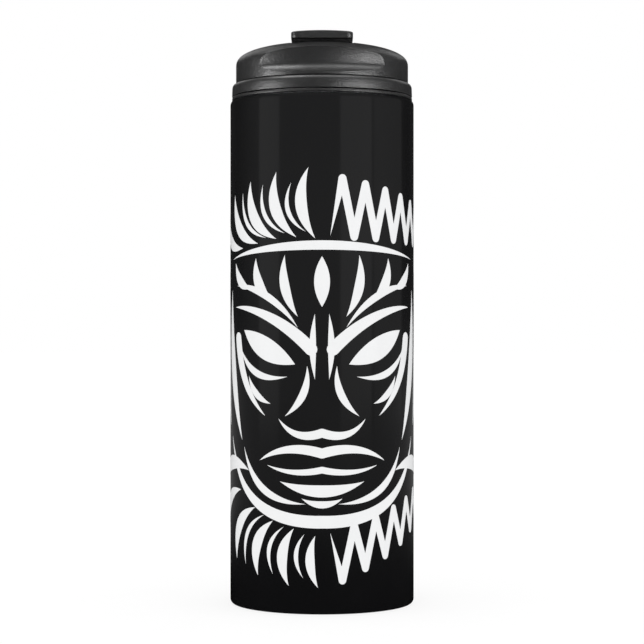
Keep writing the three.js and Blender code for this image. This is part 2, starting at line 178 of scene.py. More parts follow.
def slab(half: float, near: float, far: float, low: float, high: float, corner: float,
         edge: float = 0.0) -> bmesh.types.BMesh:
    """A plate with rounded corners and, if asked, rounded rims.

    Args:
        half: Half its width, along X.
        near: Its lowest Y.
        far: Its highest Y.
        low: Its lowest Z.
        high: Its highest Z.
        corner: Radius of its upright corners.
        edge: Rounding of its upper and lower rims, or 0.

    Returns:
        The closed plate.
    """
    shape = bmesh.new()
    bmesh.ops.create_cube(shape, size=1.0)
    bmesh.ops.scale(shape, verts=shape.verts, vec=(2 * half, far - near, high - low))
    bmesh.ops.translate(shape, verts=shape.verts, vec=(0, (near + far) / 2, (low + high) / 2))
    upright = [edge_ for edge_ in shape.edges
               if abs(edge_.verts[0].co.z - edge_.verts[1].co.z) > 0.5 * (high - low)]
    bmesh.ops.bevel(shape, geom=upright, offset=corner, offset_type="OFFSET", segments=10,
                    profile=0.5, affect="EDGES", material=-1)
    if edge > 0:
        soften(shape, edge, 4, 60)
    return shape


def swept_ridge(shape: bmesh.types.BMesh, root: float, crest: float, start: float, low: float,
                lead: float = 12.0, turns: float = 0.5, height: float = 1.8) -> None:
    """Adds one thread ridge: a trapezoid swept up a helix, faded out at both ends.

    Args:
        shape: The shape that gets the ridge.
        root: Radius of its foot.
        crest: Radius of its crest.
        start: Angle where it starts, in degrees.
        low: Height where it starts.
        lead: Rise in one full turn.
        turns: How far it winds.
        height: Its height at the foot.
    """
    ridge = bmesh.new()
    steps = round(turns * 96)
    section = ((root, -height / 2), (crest, -height / 4), (crest, height / 4), (root, height / 2))
    corners = [ridge.verts.new((radius, 0.0, low + up)) for radius, up in section]
    face = ridge.faces.new(corners)
    bmesh.ops.spin(ridge, geom=corners + list(face.edges) + [face], cent=(0, 0, 0), axis=(0, 0, 1),
                   angle=2 * math.pi * turns, steps=steps, dvec=(0, 0, lead * turns / steps))
    for vert in ridge.verts:
        around = math.degrees(math.atan2(vert.co.y, vert.co.x)) % 360
        along = min(around, abs(360 * turns - around)) / 18
        if along < 1:
            radius = math.hypot(vert.co.x, vert.co.y)
            fade = (root + (radius - root) * math.sin(along * math.pi / 2)) / radius
            vert.co.x *= fade
            vert.co.y *= fade
    bmesh.ops.rotate(ridge, verts=ridge.verts, cent=(0, 0, 0),
                     matrix=Matrix.Rotation(math.radians(start), 3, "Z"))
    bmesh.ops.recalc_face_normals(ridge, faces=ridge.faces)
    mesh = bpy.data.meshes.new("ridge")
    ridge.to_mesh(mesh)
    ridge.free()
    shape.from_mesh(mesh)
    bpy.data.meshes.remove(mesh)


def as_object(name: str, shape: bmesh.types.BMesh) -> bpy.types.Object:
    """Makes an object of a shape, as it stands, and frees the shape.

    Args:
        name: The object's name.
        shape: Its shape.

    Returns:
        The object, linked to the scene.
    """
    mesh = bpy.data.meshes.new(name)
    shape.to_mesh(mesh)
    shape.free()
    made = bpy.data.objects.new(name, mesh)
    bpy.context.scene.collection.objects.link(made)
    return made


def combine(base: bmesh.types.BMesh, other: bmesh.types.BMesh, how: Join) -> bmesh.types.BMesh:
    """Joins, cuts or intersects two closed shapes.

    Args:
        base: The shape that is kept, cut or joined to.
        other: The shape that works on it.
        how: What is done.

    Returns:
        The result. Both inputs are freed.
    """
    kept = as_object("kept", base)
    tool = as_object("tool", other)
    work = kept.modifiers.new("work", "BOOLEAN")
    work.operation = how.value
    work.solver = "EXACT"
    work.object = tool
    bpy.context.view_layer.update()
    graph = bpy.context.evaluated_depsgraph_get()
    mesh = bpy.data.meshes.new_from_object(kept.evaluated_get(graph))
    result = bmesh.new()
    result.from_mesh(mesh)
    for made in (kept, tool):
        old = made.data
        bpy.data.objects.remove(made)
        bpy.data.meshes.remove(old)
    bpy.data.meshes.remove(mesh)
    bmesh.ops.remove_doubles(result, verts=result.verts, dist=1e-4)
    return result


def finished(name: str, shape: bmesh.types.BMesh, body: Body,
             material: bpy.types.Material, replaces: Sequence[str] = (),
             sharp: float = 32.0) -> bpy.types.Object:
    """Scales a shape to metres and sets it on its body with its material.

    Args:
        name: The piece's name.
        shape: The shape in millimetres, which is freed.
        body: The body that it moves with.
        material: Its material.
        replaces: CAD nodes that it stands for.
        sharp: Edges past this angle, in degrees, stay sharp.

    Returns:
        The finished piece.
    """
    bmesh.ops.scale(shape, verts=shape.verts, vec=(MM, MM, MM))
    piece = as_object(name, shape)
    piece.data.shade_smooth()
    piece.data.set_sharp_from_angle(angle=math.radians(sharp))
    piece.data.materials.append(material)
    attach(piece, body.value)
    if replaces:
        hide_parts(*replaces)
    LOG.info("%s: %d faces", name, len(piece.data.polygons))
    return piece


# ------------------------------------------------------------------------------ node tools


class Desk:
    """Puts nodes on a tree and wires them."""

    def __init__(self, tree: bpy.types.NodeTree) -> None:
        """Starts on a tree."""
        self.tree = tree

    def put(self, kind: str, inputs: dict | None = None, **settings: object) -> bpy.types.Node:
        """Adds one node.

        Args:
            kind: The node's type, without its ShaderNode prefix.
            inputs: For each input by name or number, a value or the socket that feeds it.
            **settings: The node's own properties.

        Returns:
            The node.
        """
        node = self.tree.nodes.new("ShaderNode" + kind)
        for key, value in settings.items():
            setattr(node, key, value)
        for key, value in (inputs or {}).items():
            if isinstance(value, bpy.types.NodeSocket):
                self.tree.links.new(value, node.inputs[key])
            else:
                node.inputs[key].default_value = value
        return node

    def math(self, operation: str, *values: object, clamp: bool = False) -> bpy.types.NodeSocket:
        """A Math node's result on up to three values or sockets."""
        node = self.put("Math", dict(enumerate(values)), operation=operation, use_clamp=clamp)
        return node.outputs[0]

    def ramp(self, source: bpy.types.NodeSocket, low: float, high: float, to_low: float,
             to_high: float) -> bpy.types.NodeSocket:
        """A value moved smoothly from one range to another.

        Args:
            source: The value's socket.
            low: Start of its range.
            high: End of its range.
            to_low: What the start becomes.
            to_high: What the end becomes.

        Returns:
            The socket of the moved value.
        """
        node = self.put("MapRange", {0: source, 1: low, 2: high, 3: to_low, 4: to_high},
                        interpolation_type="SMOOTHSTEP")
        return node.outputs[0]

    def place(self, scale: Point3 = (1.0, 1.0, 1.0)) -> bpy.types.NodeSocket:
        """Object coordinates, stretched by a scale."""
        source = self.put("TexCoord").outputs["Object"]
        return self.put("Mapping", {"Vector": source, "Scale": scale}).outputs[0]

    def noise(self, vector: bpy.types.NodeSocket, scale: object, detail: float = 3.0,
              rough: float = 0.5) -> bpy.types.NodeSocket:
        """A noise texture's value."""
        return self.put("TexNoise", {"Vector": vector, "Scale": scale, "Detail": detail,
                                     "Roughness": rough}).outputs[0]

    def blend(self, factor: object, first: object, second: object) -> bpy.types.NodeSocket:
        """Two colours mixed by a factor.

        Args:
            factor: Share of the second colour, as a value or a socket.
            first: The first colour.
            second: The second colour.

        Returns:
            The socket of the mixed colour.
        """
        node = self.put("Mix", data_type="RGBA")
        for key, value in (("Factor_Float", factor), ("A_Color", first), ("B_Color", second)):
            socket = next(item for item in node.inputs if item.identifier == key)
            if isinstance(value, bpy.types.NodeSocket):
                self.tree.links.new(value, socket)
            else:
                socket.default_value = value
        return next(item for item in node.outputs if item.identifier == "Result_Color")

    def bump(self, height: bpy.types.NodeSocket, depth: float,
             strength: float = 1.0) -> bpy.types.NodeSocket:
        """A bumped normal from a height between 0 and 1, with its depth in metres."""
        return self.put("Bump", {"Height": height, "Distance": depth, "Strength": strength}).outputs[0]


@dataclass(frozen=True)
class SharedEffect:
    """A node group that several finishes use: named number inputs and one value out."""

    name: str
    inputs: tuple[tuple[str, float], ...]

    def wire(self, desk: Desk, given: bpy.types.Node) -> bpy.types.NodeSocket:
        """Wires the effect inside its group; each effect has its own.

        Args:
            desk: The group's desk.
            given: The group's input node.

        Returns:
            The socket of the mask.
        """
        raise NotImplementedError

    def tree(self) -> bpy.types.NodeTree:
        """Builds the group once.

        Returns:
            The group's tree.
        """
        if self.name in bpy.data.node_groups:
            return bpy.data.node_groups[self.name]
        tree = bpy.data.node_groups.new(self.name, "ShaderNodeTree")
        for name, value in self.inputs:
            socket = tree.interface.new_socket(name, in_out="INPUT", socket_type="NodeSocketFloat")
            socket.default_value = value
        tree.interface.new_socket("Mask", in_out="OUTPUT", socket_type="NodeSocketFloat")
        given = tree.nodes.new("NodeGroupInput")
        result = tree.nodes.new("NodeGroupOutput")
        tree.links.new(self.wire(Desk(tree), given), result.inputs["Mask"])
        return tree

    def on(self, desk: Desk, **values: float) -> bpy.types.NodeSocket:
        """Places the effect in a material.

        Args:
            desk: The material's desk.
            **values: Input values, with underscores for the spaces in their names.

        Returns:
            The socket of its mask.
        """
        node = desk.tree.nodes.new("ShaderNodeGroup")
        node.node_tree = self.tree()
        for name, value in values.items():
            node.inputs[name.replace("_", " ")].default_value = value
        return node.outputs["Mask"]


class MouldGrain(SharedEffect):
    """The fine spark-eroded grain of a moulded surface, as a height."""

    def wire(self, desk: Desk, given: bpy.types.Node) -> bpy.types.NodeSocket:
        """Mixes two sizes of noise into one grain.

        Args:
            desk: The group's desk.
            given: The group's input node.

        Returns:
            The socket of the mask.
        """
        place = desk.place()
        fine = desk.noise(place, given.outputs["Scale"], 2.0, 0.6)
        coarse = desk.noise(place, desk.math("MULTIPLY", given.outputs["Scale"], 0.31), 2.0, 0.5)
        mixed = desk.math("ADD", desk.math("MULTIPLY", fine, 0.6), desk.math("MULTIPLY", coarse, 0.4))
        return desk.ramp(mixed, 0.3, 0.7, 0.0, 1.0)


class EdgeRub(SharedEffect):
    """Where handling has burnished the edges, broken up by noise."""

    def wire(self, desk: Desk, given: bpy.types.Node) -> bpy.types.NodeSocket:
        """Compares the true normal with a rounded one.

        Args:
            desk: The group's desk.
            given: The group's input node.

        Returns:
            The socket of the mask.
        """
        rounded = desk.put("Bevel", {"Radius": given.outputs["Radius"]}, samples=4)
        true = desk.put("NewGeometry").outputs["Normal"]
        dot = desk.put("VectorMath", {0: rounded.outputs[0], 1: true}, operation="DOT_PRODUCT")
        edge = desk.ramp(dot.outputs["Value"], 0.995, 0.85, 0.0, 1.0)
        broken = desk.ramp(desk.noise(desk.place(), 420.0, 4.0, 0.6), 0.35, 0.65, 0.25, 1.0)
        return desk.math("MULTIPLY", desk.math("MULTIPLY", edge, broken), given.outputs["Amount"])


class DustFilm(SharedEffect):
    """A thin film of dust, thickest where the surface looks up."""

    def wire(self, desk: Desk, given: bpy.types.Node) -> bpy.types.NodeSocket:
        """Multiplies the upward slope by soft patches and specks.

        Args:
            desk: The group's desk.
            given: The group's input node.

        Returns:
            The socket of the mask.
        """
        normal = desk.put("NewGeometry").outputs["Normal"]
        up = desk.put("SeparateXYZ", {0: normal}).outputs["Z"]
        facing = desk.ramp(up, -0.2, 1.0, 0.15, 1.0)
        place = desk.place()
        patches = desk.ramp(desk.noise(place, 55.0, 4.0, 0.6), 0.35, 0.75, 0.2, 1.0)
        specks = desk.ramp(desk.noise(place, 2600.0, 1.0, 0.5), 0.62, 0.75, 0.15, 1.0)
        film = desk.math("MULTIPLY", desk.math("MULTIPLY", patches, specks), facing)
        return desk.math("MULTIPLY", film, given.outputs["Amount"])


class Smudges(SharedEffect):
    """Soft hand marks that dull a gloss in patches."""

    def wire(self, desk: Desk, given: bpy.types.Node) -> bpy.types.NodeSocket:
        """Keeps the upper part of a broad noise.

        Args:
            desk: The group's desk.
            given: The group's input node.

        Returns:
            The socket of the mask.
        """
        place = desk.place((1.0, 1.0, 0.6))
        broad = desk.noise(place, given.outputs["Scale"], 5.0, 0.62)
        return desk.math("MULTIPLY", desk.ramp(broad, 0.45, 0.72, 0.0, 1.0), given.outputs["Amount"])


GRAIN = MouldGrain("mould_grain", (("Scale", 2400.0),))
EDGE_RUB = EdgeRub("edge_rub", (("Radius", 0.0004), ("Amount", 0.5)))
DUST = DustFilm("dust_film", (("Amount", 0.1),))
SMUDGES = Smudges("smudges", (("Scale", 45.0), ("Amount", 0.3)))


# ------------------------------------------------------------------------------ finishes


@dataclass(frozen=True)
class Finish:
    """A surface finish. Each kind adds its own nodes to a plain shader."""

    name: str
    tone: Point3
    roughness: float

    def colour(self, gain: float = 1.0) -> tuple[float, float, float, float]:
        """The tone, lighter or darker by a gain, as a colour with full alpha."""
        return (self.tone[0] * gain, self.tone[1] * gain, self.tone[2] * gain, 1.0)

    def detail(self, desk: Desk, shader: bpy.types.Node) -> None:
        """Adds the finish's own nodes; each kind has its own."""
        raise NotImplementedError

    def material(self) -> bpy.types.Material:
        """Builds the material once.

        Returns:
            The material.
        """
        if self.name in bpy.data.materials:
            return bpy.data.materials[self.name]
        made = bpy.data.materials.new(self.name)
        made.use_nodes = True
        made.node_tree.nodes.clear()
        desk = Desk(made.node_tree)
        shader = desk.put("BsdfPrincipled", {"Base Color": self.colour(), "Roughness": self.roughness})
        desk.put("OutputMaterial", {"Surface": shader.outputs[0]})
        self.detail(desk, shader)
        return made

    def feed(self, desk: Desk, shader: bpy.types.Node, **sockets: bpy.types.NodeSocket) -> None:
        """Wires sockets into the shader's varying inputs.

        Args:
            desk: The material's desk.
            shader: Its Principled shader.
            **sockets: By input name, with underscores for spaces.
        """
        for name, socket in sockets.items():
            desk.tree.links.new(socket, shader.inputs[name.replace("_", " ")])


@dataclass(frozen=True)
class SatinPlastic(Finish):
    """Black moulded plastic with a fine grain, burnished edges and a trace of dust."""

    grain_depth: float = 0.00001
    specular: float = 0.5

    def detail(self, desk: Desk, shader: bpy.types.Node) -> None:
        """Adds grain, mottled tone, rubbed edges and dust.

        Args:
            desk: The material's desk.
            shader: Its Principled shader.
        """
        shader.inputs["Specular IOR Level"].default_value = self.specular
        grain = GRAIN.on(desk, Scale=1250.0)
        rub = EDGE_RUB.on(desk, Radius=0.00035, Amount=0.45)
        dust = DUST.on(desk, Amount=0.10)
        mottle = desk.noise(desk.place(), 160.0, 4.0, 0.6)
        base = desk.blend(desk.ramp(mottle, 0.3, 0.7, 0.0, 1.0), self.colour(0.88), self.colour(1.12))
        worn = desk.blend(rub, base, self.colour(2.1))
        dusty = desk.blend(dust, worn, (0.32, 0.31, 0.30, 1.0))
        rough = desk.math("ADD", desk.ramp(grain, 0.0, 1.0, self.roughness - 0.035, self.roughness + 0.045),
                          desk.math("MULTIPLY", dust, 0.5))
        rough = desk.math("SUBTRACT", rough, desk.math("MULTIPLY", rub, 0.10))
        self.feed(desk, shader, Base_Color=dusty, Roughness=rough,
                  Normal=desk.bump(grain, self.grain_depth, 0.7))


@dataclass(frozen=True)
class GlossWrap(Finish):
    """Deep black laminated film: a glossy skin, faintly wavy, butted in a seam at the back."""

    def detail(self, desk: Desk, shader: bpy.types.Node) -> None:
        """Adds waviness, smudges, sparse dust and the seam.

        Args:
            desk: The material's desk.
            shader: Its Principled shader.
        """
        shader.inputs["Specular IOR Level"].default_value = 0.5
        smudge = SMUDGES.on(desk, Scale=38.0, Amount=0.35)
        dust = DUST.on(desk, Amount=0.02)
        ripple = desk.noise(desk.place((1.0, 1.0, 0.35)), 210.0, 2.0, 0.45)
        film = desk.noise(desk.place(), 900.0, 2.0, 0.5)
        height = desk.math("ADD", ripple, desk.math("MULTIPLY", film, 0.12))
        across = desk.put("SeparateXYZ", {0: desk.put("TexCoord").outputs["Object"]})
        line = desk.ramp(desk.math("ABSOLUTE", across.outputs["X"]), 0.00012, 0.0003, 1.0, 0.0)
        seam = desk.math("MULTIPLY", line, desk.math("GREATER_THAN", across.outputs["Y"], 0.0))
        height = desk.math("SUBTRACT", height, desk.math("MULTIPLY", seam, 3.0))
        tone = desk.blend(desk.math("ADD", dust, desk.math("MULTIPLY", smudge, 0.012)), self.colour(),
                          (0.20, 0.20, 0.21, 1.0))
        rough = desk.math("ADD", self.roughness, desk.math("MULTIPLY", smudge, 0.10))
        rough = desk.math("ADD", rough, desk.math("MULTIPLY", seam, 0.3))
        self.feed(desk, shader, Base_Color=tone, Roughness=rough,
                  Normal=desk.bump(height, 0.000018, 0.5))


@dataclass(frozen=True)
class WhiteInk(Finish):
    """Opaque white print under the film, a touch uneven in cover."""

    def detail(self, desk: Desk, shader: bpy.types.Node) -> None:
        """Adds uneven cover and the dots of the print screen.

        Args:
            desk: The material's desk.
            shader: Its Principled shader.
        """
        cover = desk.noise(desk.place(), 130.0, 5.0, 0.6)
        screen = desk.noise(desk.place(), 5200.0, 1.0, 0.4)
        smudge = SMUDGES.on(desk, Scale=38.0, Amount=0.3)
        even = desk.blend(desk.ramp(cover, 0.3, 0.75, 0.0, 1.0), self.colour(), self.colour(0.965))
        tone = desk.blend(desk.ramp(screen, 0.55, 0.75, 0.0, 0.5), even, self.colour(0.95))
        rough = desk.math("ADD", self.roughness, desk.math("MULTIPLY", smudge, 0.12))
        self.feed(desk, shader, Base_Color=tone, Roughness=rough,
                  Normal=desk.bump(screen, 0.000004, 0.4))


@dataclass(frozen=True)
class BrushedSteel(Finish):
    """Stainless steel with brushing that runs round the axis."""

    def detail(self, desk: Desk, shader: bpy.types.Node) -> None:
        """Adds rings of fine scratches, slow tone drift and smudges.

        Args:
            desk: The material's desk.
            shader: Its Principled shader.
        """
        shader.inputs["Metallic"].default_value = 1.0
        shader.inputs["Anisotropic"].default_value = 0.35
        lines = desk.noise(desk.place((25.0, 25.0, 9000.0)), 1.0, 4.0, 0.65)
        drift = desk.noise(desk.place(), 40.0, 3.0, 0.5)
        smudge = SMUDGES.on(desk, Scale=60.0, Amount=0.5)
        tone = desk.blend(desk.ramp(drift, 0.3, 0.7, 0.0, 1.0), self.colour(0.93), self.colour(1.05))
        scored = desk.blend(desk.ramp(lines, 0.35, 0.7, 0.0, 0.35), tone, self.colour(0.72))
        rough = desk.math("ADD", desk.ramp(lines, 0.3, 0.7, self.roughness - 0.07, self.roughness + 0.09),
                          desk.math("MULTIPLY", smudge, 0.12))
        self.feed(desk, shader, Base_Color=scored, Roughness=rough,
                  Normal=desk.bump(lines, 0.000012, 0.5))


@dataclass(frozen=True)
class Elastomer(Finish):
    """Moulded rubber or silicone: soft, faintly bloomed, with fine pores."""

    bloom: Point3 = (0.12, 0.12, 0.12)
    depth: float = 0.000015

    def detail(self, desk: Desk, shader: bpy.types.Node) -> None:
        """Adds pores, bloom and dust.

        Args:
            desk: The material's desk.
            shader: Its Principled shader.
        """
        grain = GRAIN.on(desk, Scale=1500.0)
        dust = DUST.on(desk, Amount=0.16)
        cloud = desk.ramp(desk.noise(desk.place(), 120.0, 5.0, 0.6), 0.42, 0.8, 0.0, 0.5)
        bloomed = desk.blend(cloud, self.colour(), (*self.bloom, 1.0))
        tone = desk.blend(dust, bloomed, (0.4, 0.39, 0.37, 1.0))
        rough = desk.math("ADD", desk.ramp(grain, 0.0, 1.0, self.roughness - 0.06, self.roughness + 0.05),
                          desk.math("MULTIPLY", dust, 0.3))
        self.feed(desk, shader, Base_Color=tone, Roughness=rough,
                  Normal=desk.bump(grain, self.depth, 0.5))


@dataclass(frozen=True)
class CrinkledFoil(Finish):
    """Thin copper foil, wound by hand and creased."""

    def detail(self, desk: Desk, shader: bpy.types.Node) -> None:
        """Adds creases and tarnish.

        Args:
            desk: The material's desk.
            shader: Its Principled shader.
        """
        shader.inputs["Metallic"].default_value = 1.0
        creases = desk.put("TexVoronoi", {"Vector": desk.place(), "Scale": 260.0},
                           feature="DISTANCE_TO_EDGE").outputs[0]
        tarnish = desk.ramp(desk.noise(desk.place(), 70.0, 5.0, 0.6), 0.4, 0.75, 0.0, 0.7)
        tone = desk.blend(tarnish, self.colour(), (0.42, 0.20, 0.11, 1.0))
        rough = desk.ramp(tarnish, 0.0, 0.7, self.roughness, self.roughness + 0.2)
        self.feed(desk, shader, Base_Color=tone, Roughness=rough,
                  Normal=desk.bump(desk.ramp(creases, 0.0, 0.25, 0.0, 1.0), 0.0002, 0.5))


@dataclass(frozen=True)
class Granular(Finish):
    """A matt body of packed grains or cells, such as sintered metal or foam."""

    cells: float = 1400.0
    depth: float = 0.00006
    metallic: float = 0.0

    def detail(self, desk: Desk, shader: bpy.types.Node) -> None:
        """Adds cells that dent the surface, with painted shade darkening the dents.

        Args:
            desk: The material's desk.
            shader: Its Principled shader.
        """
        shader.inputs["Metallic"].default_value = self.metallic
        cells = desk.put("TexVoronoi", {"Vector": desk.place(), "Scale": self.cells}).outputs[0]
        # Painted shade: the tone darkens towards each cell's middle, where the bump dents deepest.
        painted_dent_shade = desk.ramp(cells, 0.0, 0.8, 0.55, 0.0)
        tone = desk.blend(painted_dent_shade, self.colour(), self.colour(0.7))
        rough = desk.ramp(cells, 0.0, 0.8, self.roughness + 0.06, self.roughness - 0.06)
        self.feed(desk, shader, Base_Color=tone, Roughness=rough,
                  Normal=desk.bump(cells, self.depth, 0.6))


LID_PLASTIC = SatinPlastic("lid_satin_black", (0.0135, 0.0135, 0.014), 0.40, 0.00007)
HIDDEN_PLASTIC = SatinPlastic("lid_inner_black", (0.016, 0.016, 0.017), 0.48, 0.00003)
WRAP_FILM = GlossWrap("wrap_gloss_black", (0.0048, 0.0048, 0.0052), 0.11)
PRINT_WHITE = WhiteInk("print_white", (0.905, 0.910, 0.915), 0.30)
STEEL = BrushedSteel("brushed_steel", (0.62, 0.63, 0.65), 0.30)
PIN_STEEL = BrushedSteel("pin_steel", (0.56, 0.57, 0.59), 0.22)
COPPER = CrinkledFoil("copper_foil", (0.86, 0.46, 0.28), 0.24)
GETTER = Granular("getter_sinter", (0.30, 0.30, 0.31), 0.68, 2600.0, 0.00005, 0.8)
FOAM = Granular("closed_cell_foam", (0.80, 0.80, 0.77), 0.88, 900.0, 0.0002)
BEAD = Elastomer("fused_bead", (0.20, 0.21, 0.22), 0.22, (0.30, 0.31, 0.31), 0.000008)
FOOT = Elastomer("foot_rubber", (0.014, 0.014, 0.014), 0.78)
CLEAR = Elastomer("milky_silicone", (0.66, 0.67, 0.68), 0.42, (0.78, 0.78, 0.78))
STOPPER = Elastomer("black_silicone", (0.016, 0.016, 0.018), 0.52)


# ------------------------------------------------------------------------------ vessel


@dataclass
class Vessel:
    """The double-walled steel body, its printed skin and its foot."""

    radius: float = 35.0
    film: float = 0.25
    top: float = 191.1
    shoulder: float = 189.3
    heel: float = 1.8
    heel_height: float = 1.75
    shell_radius: float = 34.7
    shell_wall: float = 0.5
    rim: float = 190.8
    bore: float = 31.0
    liner_wall: float = 0.45
    floor: float = 8.6
    bend: float = 1.1
    pad_radius: float = 30.6
    pad_height: float = 2.8
    sides: int = 256

    def wrap(self) -> bpy.types.Object:
        """The printed skin, turned over the shoulder and round the heel.

        Returns:
            The finished piece.
        """
        heel_at = (self.radius - self.heel, self.heel_height)
        inner = self.radius - self.film
        small = self.heel - self.film
        profile = (
            arc(heel_at, (self.heel, self.heel), -60, 0, 8)
            + [(self.radius, height) for height in (40.0, 80.0, 120.0, 160.0)]
            + arc((self.radius - 1, self.shoulder), (1.0, self.top - self.shoulder), 0, 90, 10)
            + arc((inner - 0.8, self.shoulder), (0.8, 1.55), 90, 0, 6)
            + arc(heel_at, (small, small), 0, -60, 6)
        )
        shape = turned(profile, closed=True, sides=self.sides)
        return finished("wrap_film", shape, Body.VESSEL, WRAP_FILM.material(),
                        ["printed_wrap"], 50)

    def shell(self) -> bpy.types.Object:
        """The outer steel wall under the skin.

        Returns:
            The finished piece.
        """
        heel = self.heel - self.film - 0.05
        centre = (self.radius - self.heel, self.heel_height)
        inner = self.shell_radius - self.shell_wall
        profile = (
            [(32.0, centre[1] - heel)]
            + arc(centre, (heel, heel), -90, 0, 8)
            + arc((self.shell_radius - 0.8, self.shoulder), (0.8, self.rim - self.shoulder), 0, 90, 6)
            + [(33.2, self.rim), (33.2, 189.6), (inner, 188.6), (inner, centre[1] + 0.4),
               (centre[0], centre[1] - heel + self.shell_wall), (32.0, centre[1] - heel + self.shell_wall)]
        )
        shape = turned(profile, closed=True, sides=self.sides)
        return finished("steel_shell", shape, Body.VESSEL, STEEL.material(), ["outer_shell"])

    def liner(self) -> bpy.types.Object:
        """The cup's wall with its rolled rim, turned-in foot and two thread ridges.

        Returns:
            The finished piece.
        """
        outside = self.bore + self.liner_wall
        foot = self.bore - self.bend
        centre = (foot, self.floor + self.bend)
        outer_bend = self.bend + self.liner_wall
        profile = (
            arc(centre, (outer_bend, outer_bend), -90, 0, 6)
            + [(outside, self.rim - 1.2), (outside + 0.5, self.rim - 0.7), (33.1, self.rim - 0.7),
               (33.1, self.rim)]
            + arc((self.bore + 0.6, self.rim - 0.6), (0.6, 0.6), 90, 180, 6)
            + arc(centre, (self.bend, self.bend), 0, -90, 6)
        )
        shape = turned(profile, closed=True, sides=192)
        for start in (0, 180):
            swept_ridge(shape, self.bore + 0.25, 30.0, start, 179.5)
        return finished("cup_liner", shape, Body.VESSEL, STEEL.material(), ["inner_liner"])

    def floor_disc(self) -> bpy.types.Object:
        """The cup's floor with its weld ring and a faint pressed step.

        Returns:
            The finished piece.
        """
        edge = self.bore - self.bend - 0.05
        low = self.floor - self.liner_wall
        shape = turned([(0, low), (edge, low), (edge, self.floor), (22.0, self.floor),
                        (21.6, self.floor - 0.12), (0, self.floor - 0.12)], sides=192)
        return finished("cup_floor", shape, Body.VESSEL, STEEL.material(), ["liner_floor"])

    def base_plate(self) -> bpy.types.Object:
        """The dished plate that closes the double wall.

        Returns:
            The finished piece.
        """
        shape = turned([(0, 3.8), (31.0, 3.8), (31.0, 0.8), (31.7, 0.8), (31.7, 4.6), (0, 4.6)], sides=192)
        soften(shape, 0.2)
        return finished("base_plate", shape, Body.VESSEL, STEEL.material(), ["outer_base"])

    def pad(self) -> bpy.types.Object:
        """The foot pad, with moulded grooves on its underside.

        Returns:
            The finished piece.
        """
        edge = self.pad_radius
        grooves: Profile = []
        for radius in (10.0, 16.0, 22.0, 26.5):
            grooves += [(radius, 0), (radius + 0.2, 0.45), (radius + 0.9, 0.45), (radius + 1.1, 0)]
        profile = ([(0, 0.45), (5.0, 0.45), (5.2, 0)] + grooves
                   + arc((edge - 0.7, 0.7), (0.7, 0.7), -90, 0, 6)
                   + [(edge, self.pad_height), (0, self.pad_height)])
        shape = turned(profile, sides=192)
        return finished("foot_pad", shape, Body.VESSEL, FOOT.material(), ["base_pad"])

    def dress_hidden(self) -> None:
        """Gives the pieces inside the double wall their finishes."""
        for node, finish in (("foil_shield", COPPER), ("getter", GETTER), ("vacuum_seal_bead", BEAD)):
            dress(node, finish)

    def build(self) -> list[bpy.types.Object]:
        """Builds every piece of the vessel and returns them."""
        self.dress_hidden()
        return [self.wrap(), self.shell(), self.liner(), self.floor_disc(), self.base_plate(), self.pad()]


def dress(node: str, finish: Finish) -> None:
    """Gives a CAD node that stays in view its material.

    Args:
        node: The node's name.
        finish: Its finish.
    """
    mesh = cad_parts[node].data
    mesh.materials.clear()
    mesh.materials.append(finish.material())
    LOG.info("%s: dressed as %s", node, finish.name)


# ------------------------------------------------------------------------------ print


class Taper(Enum):
    """How a brush stroke's width runs out."""

    BOTH = "pointed at both ends"
    TIP = "round at its start, pointed at its end"

    def share(self, along: float) -> float:
        """The share of the full width that is left, from 0 at the start to 1 at the end."""
        return math.sin(math.pi * along) if self is Taper.BOTH else math.cos(math.pi / 2 * along) ** 0.8


@dataclass(frozen=True)
class Stroke:
    """A brush stroke on the unrolled wall.

    Each point is its arc length from the front centre, its height, and the stroke's width there.
    """

    points: tuple[Point3, ...]
    cornered: bool = False

    def mirrored(self) -> "Stroke":
        """The stroke's mirror image on the other half of the face."""
        return Stroke(tuple((-s, z, width) for s, z, width in self.points), self.cornered)


def brush(start: tuple[float, float], end: tuple[float, float], bulge: float, width: float,
          taper: Taper = Taper.BOTH, steps: int = 26) -> Stroke:
    """A bowed stroke between two places.

    Args:
        start: Arc length and height of its start.
        end: Arc length and height of its end.
        bulge: How far it bows to the left of its own direction.
        width: Its full width.
        taper: How the width runs out.
        steps: Number of straight steps along it.

    Returns:
        The stroke.
    """
    begin, chord = Vector(start), Vector(end) - Vector(start)
    aside = Vector((-chord.y, chord.x)).normalized()
    points = []
    for step in range(steps + 1):
        along = step / steps
        spot = begin + chord * along + aside * bulge * 4 * along * (1 - along)
        points.append((spot.x, spot.y, width * taper.share(along)))
    return Stroke(tuple(points))


def teeth(inner: tuple[float, float], outer: tuple[float, float], rise: float, count: int,
          width: float, fade: float = 0.45) -> Stroke:
    """A row of even teeth in one cornered stroke, lower towards its outer end.

    Args:
        inner: Arc length and height where it starts.
        outer: Arc length and height where it ends.
        rise: Height of its first tooth, downwards if negative.
        count: Number of teeth.
        width: The stroke's width, which runs out at both ends.
        fade: Share of the height that the teeth lose by the outer end.

    Returns:
        The stroke.
    """
    points = []
    for corner in range(2 * count + 1):
        along = corner / (2 * count)
        spot = Vector(inner).lerp(Vector(outer), along)
        lift = rise * (1 - fade * along) if corner % 2 else 0.0
        points.append((spot.x, spot.y + lift, 0.0 if corner in (0, 2 * count) else width))
    return Stroke(tuple(points), cornered=True)


def almond(inner: tuple[float, float], outer: tuple[float, float], over: float,
           under: float) -> list[tuple[float, float]]:
    """The outline of an almond-shaped patch.

    Args:
        inner: Arc length and height of one corner.
        outer: Arc length and height of the other.
        over: How far its upper edge bows.
        under: How far its lower edge bows.

    Returns:
        The outline's points.
    """
    upper = [point[:2] for point in brush(inner, outer, over, 1.0).points]
    lower = [point[:2] for point in brush(outer, inner, under, 1.0).points]
    return upper[:-1] + lower[:-1]


